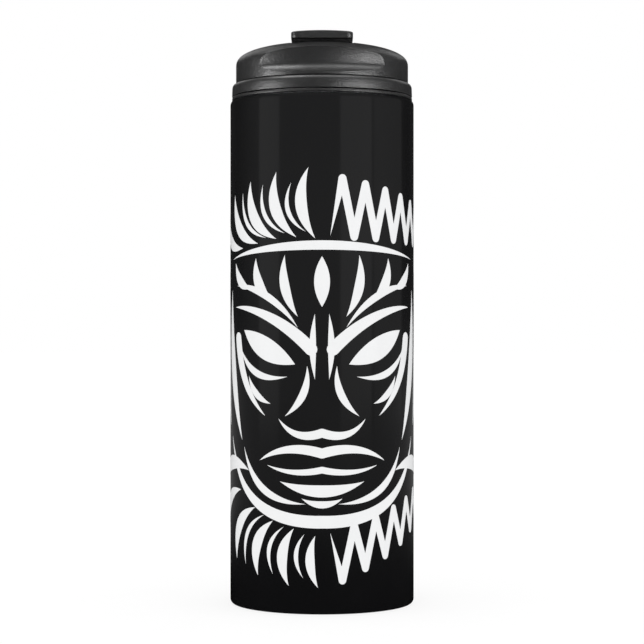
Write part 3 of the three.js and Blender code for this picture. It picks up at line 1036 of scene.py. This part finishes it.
# One half of the face; the other half mirrors it.
HALF_FACE = (
    brush((4.0, 97.0), (41.0, 112.5), 4.5, 4.6, Taper.TIP),
    brush((9.0, 105.0), (39.5, 120.5), 4.5, 2.8),
    brush((2.6, 86.0), (2.6, 110.0), -0.8, 2.4),
    brush((9.0, 109.0), (14.0, 131.5), -2.5, 3.8),
    brush((18.5, 114.0), (27.0, 130.5), -3.0, 4.4),
    brush((30.0, 119.5), (41.0, 129.0), -2.5, 4.0),
    brush((13.0, 87.0), (36.5, 97.5), -4.5, 2.6),
    brush((5.5, 91.0), (14.0, 72.5), -3.0, 2.8),
    brush((0.0, 66.5), (16.5, 71.5), -3.2, 3.2, Taper.TIP),
    brush((0.0, 59.0), (25.0, 56.0), 2.8, 3.6, Taper.TIP),
    brush((0.0, 53.0), (21.5, 54.4), -1.6, 2.4, Taper.TIP),
    brush((38.5, 101.0), (22.5, 72.5), 3.2, 4.4, Taper.TIP),
    brush((31.0, 87.0), (20.0, 77.0), 2.0, 2.6),
    brush((45.5, 119.0), (35.5, 63.0), 3.5, 5.6),
    brush((54.0, 126.0), (48.0, 68.0), 3.5, 8.0),
    brush((62.0, 112.0), (58.0, 52.0), 3.0, 7.0),
    brush((0.0, 34.0), (45.0, 64.0), -9.5, 4.6, Taper.TIP),
    brush((6.0, 40.5), (34.0, 60.5), -6.0, 2.8),
    brush((31.0, 52.0), (60.0, 46.0), 5.0, 5.6),
)

# What lies on the centre line, and the crown and beard, which are bowed on one side of the
# face and cornered on the other.
FACE_MIDDLE = (
    brush((-44.0, 130.5), (44.0, 130.5), 4.6, 3.4),
    brush((-16.0, 48.6), (16.0, 48.6), -3.4, 4.4),
    brush((-7.5, 42.5), (7.5, 42.5), -2.2, 2.6),
)
BOWED_SIDE = (
    brush((-2.5, 137.5), (-5.0, 163.5), 4.0, 4.4),
    brush((-9.5, 138.0), (-17.5, 162.0), 4.6, 4.6),
    brush((-17.5, 137.5), (-30.0, 159.0), 5.0, 4.8),
    brush((-26.0, 136.0), (-42.0, 154.5), 5.0, 4.8),
    brush((-35.0, 134.5), (-56.0, 149.5), 5.0, 5.0),
    brush((-6.0, 140.0), (-11.5, 158.0), 4.2, 1.7),
    brush((-14.0, 139.5), (-23.5, 157.5), 4.4, 1.8),
    brush((-22.0, 138.0), (-35.0, 155.0), 4.6, 1.8),
    brush((-2.5, 29.0), (-1.5, 10.0), -2.4, 3.4),
    brush((-10.5, 31.5), (-12.5, 10.5), -3.6, 4.2),
    brush((-19.0, 34.0), (-26.0, 13.5), -4.2, 4.6),
    brush((-27.5, 38.5), (-40.0, 18.5), -4.8, 4.8),
    brush((-36.5, 44.5), (-56.0, 27.0), -5.0, 5.2),
    brush((-6.5, 29.5), (-7.0, 13.5), -2.9, 1.6),
    brush((-14.5, 32.0), (-19.0, 14.5), -3.9, 1.7),
    brush((-23.0, 36.0), (-33.0, 17.0), -4.5, 1.8),
)
CORNERED_SIDE = (
    teeth((3.0, 138.5), (57.0, 136.5), 22.0, 6, 3.0),
    teeth((3.0, 30.0), (57.0, 46.0), -19.5, 6, 2.8),
)
EYE = almond((10.0, 91.5), (34.0, 104.0), 3.6, 4.6)
FOREHEAD_DROP = almond((0.0, 112.5), (0.0, 131.0), 2.9, 2.9)


def mirrored_outline(outline: Sequence[tuple[float, float]]) -> list[tuple[float, float]]:
    """A patch's mirror image on the other half of the face."""
    return [(-s, z) for s, z in outline]


@dataclass
class MaskPrint:
    """A white mask of plain brush strokes, bent round the wrap as a skin of ink."""

    strokes: Sequence[Stroke]
    patches: Sequence[Sequence[tuple[float, float]]]
    wall_radius: float = 35.0
    ink_radius: float = 35.06
    ink_depth: float = 0.05
    strip: float = 1.5
    least_dot: float = 0.5
    least_width: float = 0.02
    points: list[Vector] = field(default_factory=list)
    faces: list[list[int]] = field(default_factory=list)

    def lay_face(self, corners: Iterable[Sequence[float]]) -> None:
        """Adds a flat polygon to the drawing, wound anticlockwise.

        Args:
            corners: Its corners.
        """
        flat = [Vector((corner[0], corner[1])) for corner in corners]
        area = sum(a.x * b.y - b.x * a.y for a, b in zip(flat, flat[1:] + flat[:1]))
        if abs(area) < 1e-4:
            return
        first = len(self.points)
        self.points.extend(flat)
        order = list(range(first, first + len(flat)))
        self.faces.append(order if area > 0 else order[::-1])

    def lay_dot(self, point: Vector, sides: int = 14) -> None:
        """Adds the round end or corner of a stroke.

        Args:
            point: Its middle, with the stroke's width there as the third value.
            sides: Number of its sides.
        """
        if point.z < self.least_dot:
            return
        turns = [2 * math.pi * side / sides for side in range(sides)]
        self.lay_face([(point.x + point.z / 2 * math.cos(turn), point.y + point.z / 2 * math.sin(turn))
                       for turn in turns])

    def lay_stroke(self, stroke: Stroke) -> None:
        """Adds one stroke as a run of quads with round ends and corners.

        Args:
            stroke: The stroke.
        """
        spots = [Vector(point) for point in stroke.points]
        runs = [(after.xy - before.xy).normalized() for before, after in zip(spots, spots[1:])]
        sides = []
        for index, point in enumerate(spots):
            before, after = runs[max(0, index - 1)], runs[min(index, len(runs) - 1)]
            if not stroke.cornered:
                before = after = (before + after).normalized()
            reach = max(point.z, self.least_width) / 2
            offsets = [Vector((-run.y, run.x)) * reach for run in (before, after)]
            sides.append([(point.xy + offset, point.xy - offset) for offset in offsets])
        for start, end in zip(sides, sides[1:]):
            self.lay_face((start[1][0], start[1][1], end[0][1], end[0][0]))
        for point in spots if stroke.cornered else (spots[0], spots[-1]):
            self.lay_dot(point)

    def covers(self, face: int, spot: Vector) -> bool:
        """Whether a spot of the drawing lies inside one of the laid polygons.

        Args:
            face: The polygon's number.
            spot: The spot.

        Returns:
            True if it lies inside.
        """
        corners = [self.points[index] for index in self.faces[face]]
        inside = False
        for a, b in zip(corners, corners[1:] + corners[:1]):
            if (a.y > spot.y) != (b.y > spot.y):
                if spot.x < a.x + (spot.y - a.y) * (b.x - a.x) / (b.y - a.y):
                    inside = not inside
        return inside

    def sheet(self) -> bmesh.types.BMesh:
        """Merges everything that was laid into one flat sheet.

        Returns:
            The sheet, with arc length along X and height along Z.
        """
        flat, _, triangles, _, _, origins = delaunay_2d_cdt(self.points, [], self.faces, INSIDE_ONLY, 1e-4)
        shape = bmesh.new()
        verts = [shape.verts.new((point.x, 0.0, point.y)) for point in flat]
        for corners, origin in zip(triangles, origins):
            middle = sum((flat[corner] for corner in corners), Vector((0, 0))) / len(corners)
            if len(set(corners)) > 2 and any(self.covers(face, middle) for face in origin):
                shape.faces.new([verts[corner] for corner in corners])
        loose = [vert for vert in shape.verts if not vert.link_faces]
        bmesh.ops.delete(shape, geom=loose, context="VERTS")
        return shape

    def bend(self, shape: bmesh.types.BMesh) -> None:
        """Cuts the sheet into narrow strips and bends them round the wrap.

        Args:
            shape: The flat sheet, which is changed.
        """
        reach = max(abs(vert.co.x) for vert in shape.verts)
        count = math.ceil(reach / self.strip)
        for number in range(-count, count + 1):
            bmesh.ops.bisect_plane(shape, geom=shape.verts[:] + shape.edges[:] + shape.faces[:],
                                   plane_co=(number * self.strip, 0, 0), plane_no=(1, 0, 0), dist=1e-5)
        for vert in shape.verts:
            angle = vert.co.x / self.wall_radius
            vert.co.x = self.ink_radius * math.sin(angle)
            vert.co.y = -self.ink_radius * math.cos(angle)

    def build(self) -> bpy.types.Object:
        """Draws, bends and thickens the ink.

        Returns:
            The printed piece.
        """
        for stroke in self.strokes:
            self.lay_stroke(stroke)
        for outline in self.patches:
            self.lay_face(outline)
        shape = self.sheet()
        self.bend(shape)
        grown = bmesh.ops.extrude_face_region(shape, geom=shape.faces[:], use_keep_orig=True)
        inner = (self.ink_radius - self.ink_depth) / self.ink_radius
        for vert in (item for item in grown["geom"] if isinstance(item, bmesh.types.BMVert)):
            vert.co.x *= inner
            vert.co.y *= inner
        bmesh.ops.recalc_face_normals(shape, faces=shape.faces)
        piece = finished("mask_print", shape, Body.VESSEL, PRINT_WHITE.material())
        normals = [Vector((vert.co.x, vert.co.y, 0)).normalized() for vert in piece.data.vertices]
        piece.data.normals_split_custom_set_from_vertices(normals)
        return piece


# ------------------------------------------------------------------------------ lid


@dataclass
class Pivot:
    """Where the lever turns, and the pin that holds it."""

    y: float = 12.5
    z: float = 209.6
    pin: float = 1.2
    pin_half: float = 15.0
    bore: float = 1.4
    bore_half: float = 15.3


@dataclass
class Lid:
    """The screw-in lid: threaded plug, collar, domed cap with scoop and channel, and seals."""

    pivot: Pivot
    sip_y: float = -15.5
    sip_hole: float = 4.7
    tube_bore: float = 5.2
    vent_y: float = -2.0
    vent_hole: float = 1.4
    plug_bottom: float = 174.0
    flange_radius: float = 34.38
    flange_low: float = 191.4
    flange_high: float = 192.5
    collar_low: float = 192.8
    collar_high: float = 197.5
    foot_low: float = 197.75
    cap_radius: float = 32.85
    cap_shoulder: float = 204.27
    cap_rise: float = 8.65
    scoop_axis: float = 18.66
    scoop_clear: float = 12.0
    scoop_reach: float = 47.9
    scoop_across: float = 4.76
    scoop_height: float = 202.4
    scoop_up: float = 10.1
    scoop_down: float = 3.8
    scoop_point: float = 1.17
    channel_floor: float = 207.0
    channel_half: float = 11.9
    channel_front: float = -22.3
    channel_back: float = 19.4
    channel_wall: float = 1.8
    channel_corner: float = 2.4

    def dome(self, radius: float, shoulder: float, rise: float, steps: int) -> Profile:
        """Points up the dome's superellipse, from its widest ring to its top.

        Args:
            radius: Its radius at the shoulder.
            shoulder: Height of its widest ring.
            rise: Its height above the shoulder.
            steps: Number of straight steps.

        Returns:
            The points, as radius and height.
        """
        points = []
        for step in range(steps + 1):
            angle = math.pi / 2 * step / steps
            across = 0.0 if step == steps else math.cos(angle) ** (2 / 2.025)
            points.append((radius * across, shoulder + rise * math.sin(angle) ** (2 / 2.63)))
        return points

    def scoop(self, margin: float) -> bmesh.types.BMesh:
        """The ring that cuts the thumb scoop, about an upright axis behind the lid's own.

        Args:
            margin: How far it is grown on every side, for the wall behind the scoop.

        Returns:
            The closed cutter.
        """
        middle = self.scoop_reach + self.scoop_across
        depth, height = self.scoop_across + margin, self.scoop_height
        outside = middle + self.scoop_clear
        quarter = 14
        profile = []
        for step in range(-quarter, quarter + 1):
            angle = math.pi / 2 * step / quarter
            rise = (self.scoop_up if step > 0 else self.scoop_down) + margin
            leaned = abs(math.sin(angle)) ** self.scoop_point
            profile.append((middle - depth * math.cos(angle) ** self.scoop_point,
                            height + math.copysign(rise * leaned, step)))
        profile += [(outside, height + self.scoop_up + margin),
                    (outside, height - self.scoop_down - margin)]
        shape = turned(profile, closed=True, sides=320)
        bmesh.ops.translate(shape, verts=shape.verts, vec=(0, self.scoop_axis, 0))
        return shape

    def cap(self) -> bpy.types.Object:
        """The domed cap.

        Returns:
            The finished piece.
        """
        outside = turned(
            [(0, 193), (31.6, 193), (31.6, self.foot_low)]
            + arc((self.cap_radius - 0.3, self.foot_low + 0.3), (0.3, 0.3), -90, 0, 5)
            + self.dome(self.cap_radius, self.cap_shoulder, self.cap_rise, 30), sides=224)
        inside = turned([(0, 192), (29.8, 192), (29.8, 198.6)]
                        + self.dome(30.5, self.cap_shoulder - 0.8, self.cap_rise - 1.4, 12), sides=96)
        inside = combine(inside, self.scoop(2.0), Join.CUT)
        inset = 0.4
        full = turned([(0, 193), (31.6, 193), (31.6, self.foot_low), (32.3, self.foot_low)]
                      + self.dome(self.cap_radius - inset, self.cap_shoulder, self.cap_rise - inset, 24),
                      sides=96)
        wall = self.channel_wall
        trough = slab(self.channel_half + wall, self.channel_front - wall, self.channel_back + wall,
                      self.channel_floor - wall, 212.5, self.channel_corner + wall)
        bosses = rod(2.6, -16.6, 16.6, (self.pivot.y, self.pivot.z), along_x=True)
        inner_work = combine(combine(trough, bosses, Join.ADD), full, Join.KEEP)
        shape = combine(outside, inside, Join.CUT)
        shape = combine(shape, inner_work, Join.ADD)
        shape = combine(shape, slab(self.channel_half, self.channel_front, self.channel_back,
                                    self.channel_floor, 218.0, self.channel_corner), Join.CUT)
        shape = combine(shape, rod(self.pivot.bore, -self.pivot.bore_half, self.pivot.bore_half,
                                   (self.pivot.y, self.pivot.z), along_x=True), Join.CUT)
        for radius, at in ((self.sip_hole, self.sip_y), (self.vent_hole, self.vent_y)):
            shape = combine(shape, rod(radius, 204.0, 208.0, (0, at)), Join.CUT)
        shape = combine(shape, self.scoop(0.0), Join.CUT)
        return finished("domed_cap", shape, Body.LID, LID_PLASTIC.material(), ["lid_cap"], 13)

    def collar(self) -> bpy.types.Object:
        """The ring above the flange.

        Returns:
            The finished piece.
        """
        radius = self.flange_radius
        low, high = self.collar_low, self.collar_high
        profile = ([(31.9, low), (radius - 0.25, low)]
                   + arc((radius - 0.25, low + 0.25), (0.25, 0.25), -90, 0, 4)[1:]
                   + arc((radius - 1.3, high - 1.7), (1.2, 1.7), 0, 90, 10)
                   + [(31.9, high)])
        shape = turned(profile, closed=True, sides=224)
        return finished("collar_ring", shape, Body.LID, LID_PLASTIC.material(),
                        ["lid_collar"])

    def plug(self) -> bpy.types.Object:
        """The threaded barrel with its flange and the floor for the two tubes.

        Returns:
            The finished piece.
        """
        low = self.plug_bottom
        outer = self.flange_radius
        profile = (
            [(0, low)] + arc((28.6, low + 1), (1, 1), -90, 0, 5)
            + [(29.6, self.flange_low)]
            + arc((outer - 0.22, self.flange_low + 0.22), (0.22, 0.22), -90, 0, 5)
            + arc((outer - 0.3, self.flange_high - 0.22), (0.22, 0.22), 0, 90, 5)
            + [(29.5, self.flange_high), (29.5, 196), (27.6, 196), (27.6, low + 2), (0, low + 2)]
        )
        shape = turned(profile, sides=224)
        for radius, at in ((self.tube_bore + 1.8, self.sip_y), (self.vent_hole + 1.5, self.vent_y)):
            shape = combine(shape, rod(radius, low - 1, low + 3, (0, at)), Join.CUT)
        for start in (0, 180):
            swept_ridge(shape, 29.2, 30.7, start, 176.5)
        return finished("threaded_plug", shape, Body.LID, LID_PLASTIC.material(),
                        ["lid_plug"])

    def tube(self, name: str, node: str, bore: float, wall: float, foot: float,
             at: float) -> bpy.types.Object:
        """A tube through the lid, with a small foot under the plug's floor.

        Args:
            name: The piece's name.
            node: The CAD node that it stands for.
            bore: Radius of its bore.
            wall: Its wall.
            foot: How far its foot stands out.
            at: Y of its axis.

        Returns:
            The finished piece.
        """
        outer = bore + wall
        low = self.plug_bottom
        shape = turned([(outer + foot, low - 1.2), (outer + foot, low - 0.05), (outer, low - 0.05),
                        (outer, 204.1), (bore, 204.1), (bore, low - 1.2)], closed=True, sides=64)
        soften(shape, 0.2, 2)
        bmesh.ops.translate(shape, verts=shape.verts, vec=(0, at, 0))
        return finished(name, shape, Body.LID, HIDDEN_PLASTIC.material(), [node])

    def gasket(self) -> bpy.types.Object:
        """The silicone ring under the flange, with a wiping lip on its leg.

        Returns:
            The finished piece.
        """
        shape = turned([(29.8, 188.6), (30.3, 188.6), (30.7, 189.3), (30.45, 189.7), (30.7, 190.1),
                        (30.7, 190.85), (32.8, 190.85), (32.8, 191.35), (29.8, 191.35)],
                       closed=True, sides=192)
        soften(shape, 0.1, 2)
        return finished("rim_seal", shape, Body.GASKET, CLEAR.material(), ["rim_gasket"])

    def pin(self) -> bpy.types.Object:
        """The lever's steel pin, with chamfered ends.

        Returns:
            The finished piece.
        """
        shape = rod(self.pivot.pin, -self.pivot.pin_half, self.pivot.pin_half,
                    (self.pivot.y, self.pivot.z), along_x=True)
        soften(shape, 0.2, 2, 60)
        return finished("lever_pin", shape, Body.LID, PIN_STEEL.material(), ["hinge_pin"])

    def build(self) -> list[bpy.types.Object]:
        """Builds every piece of the lid.

        Returns:
            The finished pieces.
        """
        dress("insulation_puck", FOAM)
        dress("passage_seal", STOPPER)
        return [
            self.gasket(), self.plug(), self.collar(), self.cap(), self.pin(),
            self.tube("sip_pipe", "sip_tube", self.tube_bore, 1.5, 1.0, self.sip_y),
            self.tube("vent_pipe", "vent_tube", self.vent_hole, 1.2, 0.8, self.vent_y),
        ]


@dataclass
class Lever:
    """The flip lever with its two stoppers."""

    pivot: Pivot
    sip_y: float = -15.5
    vent_y: float = -2.0
    half: float = 11.5
    front: float = -24.0
    back: float = 13.0
    top: float = 215.2
    plate_low: float = 212.15
    corner: float = 2.4
    edge: float = 0.45
    crown: float = 0.5
    keel_half: float = 11.0
    keel_front: float = -21.6
    keel_low: float = 208.4
    keel_lean: float = 2.4
    seat: float = 207.08

    def plate(self) -> bmesh.types.BMesh:
        """The finger plate, crowned across its width.

        Returns:
            The closed plate.
        """
        shape = slab(self.half, self.front, self.back, self.plate_low, self.top, self.corner, self.edge)
        for number in range(-9, 10):
            bmesh.ops.bisect_plane(shape, geom=shape.verts[:] + shape.edges[:] + shape.faces[:],
                                   plane_co=(number * 1.0, 0, 0), plane_no=(1, 0, 0), dist=1e-5)
        middle = (self.plate_low + self.top) / 2
        for vert in shape.verts:
            if vert.co.z > middle:
                vert.co.z -= self.crown * (vert.co.x / self.half) ** 2
        return shape

    def keel(self) -> bmesh.types.BMesh:
        """The part below the plate: the web and the barrel round the pin.

        Returns:
            The closed shape.
        """
        y, z = self.pivot.y, self.pivot.z
        side = [(self.keel_front + self.keel_lean, self.keel_low), (y - 2, self.keel_low)]
        side += arc((y, z), (2.3, 2.3), 210.6, 360, 14)
        side += [(y + 1.6, z + 3), (y + 0.4, self.plate_low + 1), (self.keel_front, self.plate_low + 1)]
        shape = bmesh.new()
        face = shape.faces.new([shape.verts.new((-self.keel_half, at, up)) for at, up in side])
        grown = bmesh.ops.extrude_face_region(shape, geom=[face])
        moved = [item for item in grown["geom"] if isinstance(item, bmesh.types.BMVert)]
        bmesh.ops.translate(shape, verts=moved, vec=(2 * self.keel_half, 0, 0))
        bmesh.ops.recalc_face_normals(shape, faces=shape.faces)
        soften(shape, 0.3, 3, 60)
        return shape

    def finger_dish(self) -> bmesh.types.BMesh:
        """The lens that cuts a shallow dish for a fingertip near the free end.

        Returns:
            The closed cutter.
        """
        shape = bmesh.new()
        bmesh.ops.create_uvsphere(shape, u_segments=64, v_segments=32, radius=1.0)
        bmesh.ops.scale(shape, verts=shape.verts, vec=(7.4, 3.4, 1.0))
        bmesh.ops.translate(shape, verts=shape.verts, vec=(0, self.front + 7.5, self.top + 0.45))
        return shape

    def tab(self) -> bpy.types.Object:
        """The lever itself.

        Returns:
            The finished piece.
        """
        shape = combine(self.plate(), self.keel(), Join.ADD)
        shape = combine(shape, rod(self.pivot.bore, -13, 13, (self.pivot.y, self.pivot.z), along_x=True),
                        Join.CUT)
        for radius, high, at in ((1.9, 210.9, self.sip_y), (1.3, 210.5, self.vent_y)):
            shape = combine(shape, rod(radius, self.keel_low - 1, high, (0, at), sides=32), Join.CUT)
        shape = combine(shape, self.finger_dish(), Join.CUT)
        return finished("flip_lever", shape, Body.LEVER, LID_PLASTIC.material(), ["flip_tab"])

    def stopper(self, name: str, node: str, nose: float, tip: float, depth: float, flange: float,
                stem: float, high: float, at: float) -> bpy.types.Object:
        """A silicone stopper: nose, sealing flange and stem.

        Args:
            name: The piece's name.
            node: The CAD node that it stands for.
            nose: Radius of the nose at its root.
            tip: Radius of the nose's end.
            depth: How far the nose reaches below the channel's floor.
            flange: Radius of the sealing flange.
            stem: Radius of the stem.
            high: Height of the stem's top.
            at: Y of its axis.

        Returns:
            The stopper.
        """
        under = self.keel_low - 0.3
        shape = turned([(0, 207.0 - depth), (tip, 207.0 - depth), (nose, self.seat - 0.2),
                        (nose, self.seat), (flange, self.seat), (flange, under), (stem, under),
                        (stem, high), (0, high)], sides=64)
        soften(shape, 0.18, 2)
        bmesh.ops.translate(shape, verts=shape.verts, vec=(0, at, 0))
        return finished(name, shape, Body.LEVER, STOPPER.material(), [node])

    def build(self) -> list[bpy.types.Object]:
        """Builds the lever and its stoppers.

        Returns:
            The finished pieces.
        """
        return [
            self.tab(),
            self.stopper("sip_plug", "sip_stopper", 4.2, 3.4, 1.6, 6.2, 1.6, 210.6, self.sip_y),
            self.stopper("vent_plug", "vent_stopper", 0.8, 0.6, 0.7, 2.6, 1.0, 210.2, self.vent_y),
        ]


# ------------------------------------------------------------------------------ studio


@dataclass(frozen=True)
class Softbox:
    """One soft light that only gloss and satin pick up."""

    name: str
    azimuth: float
    elevation: float
    distance: float
    width: float
    height: float
    radiance: float
    aim: float = 0.2
    lid_only: bool = False

    def build(self, flagged: bpy.types.Collection) -> None:
        """Hangs the light, facing the tumbler.

        Args:
            flagged: The pieces that a light for the lid alone is kept off.
        """
        lamp = bpy.data.lights.new(self.name, "AREA")
        lamp.shape = "RECTANGLE"
        lamp.size = self.width
        lamp.size_y = self.height
        lamp.energy = self.radiance * math.pi * self.width * self.height
        light = bpy.data.objects.new(self.name, lamp)
        bpy.context.scene.collection.objects.link(light)
        turn, lift = math.radians(self.azimuth), math.radians(self.elevation)
        away = Vector((math.sin(turn) * math.cos(lift), -math.cos(turn) * math.cos(lift), math.sin(lift)))
        light.location = Vector((0, 0, self.aim)) + away * self.distance
        light.rotation_euler = away.to_track_quat("Z", "Y").to_euler()
        light.visible_diffuse = False
        light.visible_camera = False
        if self.lid_only:
            light.light_linking.receiver_collection = flagged


@dataclass
class Studio:
    """Camera, floor, surround and soft lights."""

    lens: float = 109.6
    camera_at: Point3 = (-0.00002, -0.750, 0.107)
    surround: float = 1.06
    front_gloss: float = 0.22
    back_gloss: float = 0.02
    softboxes: tuple[Softbox, ...] = (
        Softbox("left_low", -70, -15, 1.1, 0.42, 0.55, 37.0, lid_only=True),
        Softbox("right_low", 48, -15, 1.1, 0.85, 0.55, 23.0, lid_only=True),
        Softbox("left_steep", -70, 62, 1.1, 0.42, 0.50, 16.0, lid_only=True),
        Softbox("right_steep", 48, 65, 1.1, 0.80, 0.50, 6.0, lid_only=True),
        Softbox("left_strip", -69, 0, 1.4, 0.75, 1.3, 0.20, 0.1),
        Softbox("right_strip", 43, 0, 1.4, 1.05, 1.3, 0.20, 0.1),
        Softbox("right_tail", 92, 0, 1.4, 1.3, 1.3, 0.09, 0.1),
        Softbox("back_left", -150, 30, 1.2, 0.6, 0.6, 1.2, lid_only=True),
        Softbox("back_right", 140, 32, 1.2, 0.6, 0.6, 1.2, lid_only=True),
    )

    def camera(self) -> None:
        """A level camera in front of the tumbler."""
        data = bpy.data.cameras.new("front_camera")
        data.sensor_fit = "HORIZONTAL"
        data.sensor_width = 36.0
        data.lens = self.lens
        data.clip_start = 0.02
        camera = bpy.data.objects.new("front_camera", data)
        camera.location = self.camera_at
        camera.rotation_euler = (math.pi / 2, 0, 0)
        bpy.context.scene.collection.objects.link(camera)
        bpy.context.scene.camera = camera

    def tent(self) -> None:
        """A white tent; gloss sees it dimmer, and darkest behind the tumbler."""
        world = bpy.data.worlds.new("surround")
        bpy.context.scene.world = world
        world.use_nodes = True
        world.node_tree.nodes.clear()
        desk = Desk(world.node_tree)
        path = desk.put("LightPath")
        gloss = path.outputs["Is Glossy Ray"]
        camera = path.outputs["Is Camera Ray"]
        direction = desk.put("SeparateXYZ", {0: desk.put("TexCoord").outputs["Generated"]})
        seen = desk.ramp(direction.outputs["Y"], -0.4, 0.75, self.front_gloss, self.back_gloss)
        soft = desk.ramp(camera, 0.0, 1.0, self.surround, 1.0)
        strength = desk.math("ADD", desk.math("MULTIPLY", gloss, seen),
                             desk.math("MULTIPLY", desk.math("SUBTRACT", 1.0, gloss), soft))
        back = desk.put("Background", {"Color": (1, 1, 1, 1), "Strength": strength})
        desk.put("OutputWorld", {"Surface": back.outputs[0]})

    def floor(self) -> None:
        """A plain pale floor that glows evenly; reflections see a dimmer glow, with painted shade round the
        tumbler's foot.
        """
        shape = bmesh.new()
        bmesh.ops.create_grid(shape, x_segments=1, y_segments=1, size=6.0)
        floor = as_object("floor", shape)
        made = bpy.data.materials.new("pale_floor")
        made.use_nodes = True
        made.node_tree.nodes.clear()
        desk = Desk(made.node_tree)
        grain = desk.noise(desk.place(), 35.0, 3.0, 0.5)
        tone = desk.blend(grain, (0.19, 0.19, 0.19, 1), (0.21, 0.21, 0.21, 1))
        pale = desk.put("BsdfDiffuse", {"Color": tone})
        glow = desk.put("Emission", {"Color": (1, 1, 1, 1), "Strength": 0.81})
        lit = desk.put("AddShader", {0: pale.outputs[0], 1: glow.outputs[0]})
        # Painted shade: in reflections the floor's glow fades to nothing near the tumbler, as if shadowed
        # by it.
        away = desk.put("VectorMath", {0: desk.put("TexCoord").outputs["Object"]}, operation="LENGTH")
        strength = desk.ramp(away.outputs["Value"], 0.04, 0.6, 0.0, 0.16)
        reflected_glow_painted_shade = desk.put("Emission", {"Color": (1, 1, 1, 1), "Strength": strength})
        gloss = desk.put("LightPath").outputs["Is Glossy Ray"]
        mixed = desk.put("MixShader", {0: gloss, 1: lit.outputs[0], 2: reflected_glow_painted_shade.outputs[0]})
        desk.put("OutputMaterial", {"Surface": mixed.outputs[0]})
        floor.data.materials.append(made)

    def build(self, flagged: Sequence[bpy.types.Object]) -> None:
        """Sets up the whole studio.

        Args:
            flagged: The glossy pieces that the lid's own lights are kept off.
        """
        self.camera()
        self.tent()
        self.floor()
        kept_off = bpy.data.collections.new("flagged")
        for piece in flagged:
            kept_off.objects.link(piece)
        for member in kept_off.collection_objects:
            member.light_linking.link_state = "EXCLUDE"
        for softbox in self.softboxes:
            softbox.build(kept_off)
        bpy.context.scene.view_settings.view_transform = "Standard"
        LOG.info("studio: %d soft lights", len(self.softboxes))


def main() -> None:
    """Builds the vessel, its print, the lid, the lever and the studio, in that order."""
    logging.basicConfig(level=logging.INFO, format="%(name)s: %(message)s")
    vessel = Vessel().build()
    mirror = tuple(stroke.mirrored() for stroke in HALF_FACE)
    strokes = HALF_FACE + mirror + FACE_MIDDLE + BOWED_SIDE + CORNERED_SIDE
    drawing = MaskPrint(strokes, (EYE, mirrored_outline(EYE), FOREHEAD_DROP)).build()
    pivot = Pivot()
    Lid(pivot).build()
    Lever(pivot).build()
    Studio().build([*vessel, drawing])


if __name__ == "__main__":
    main()
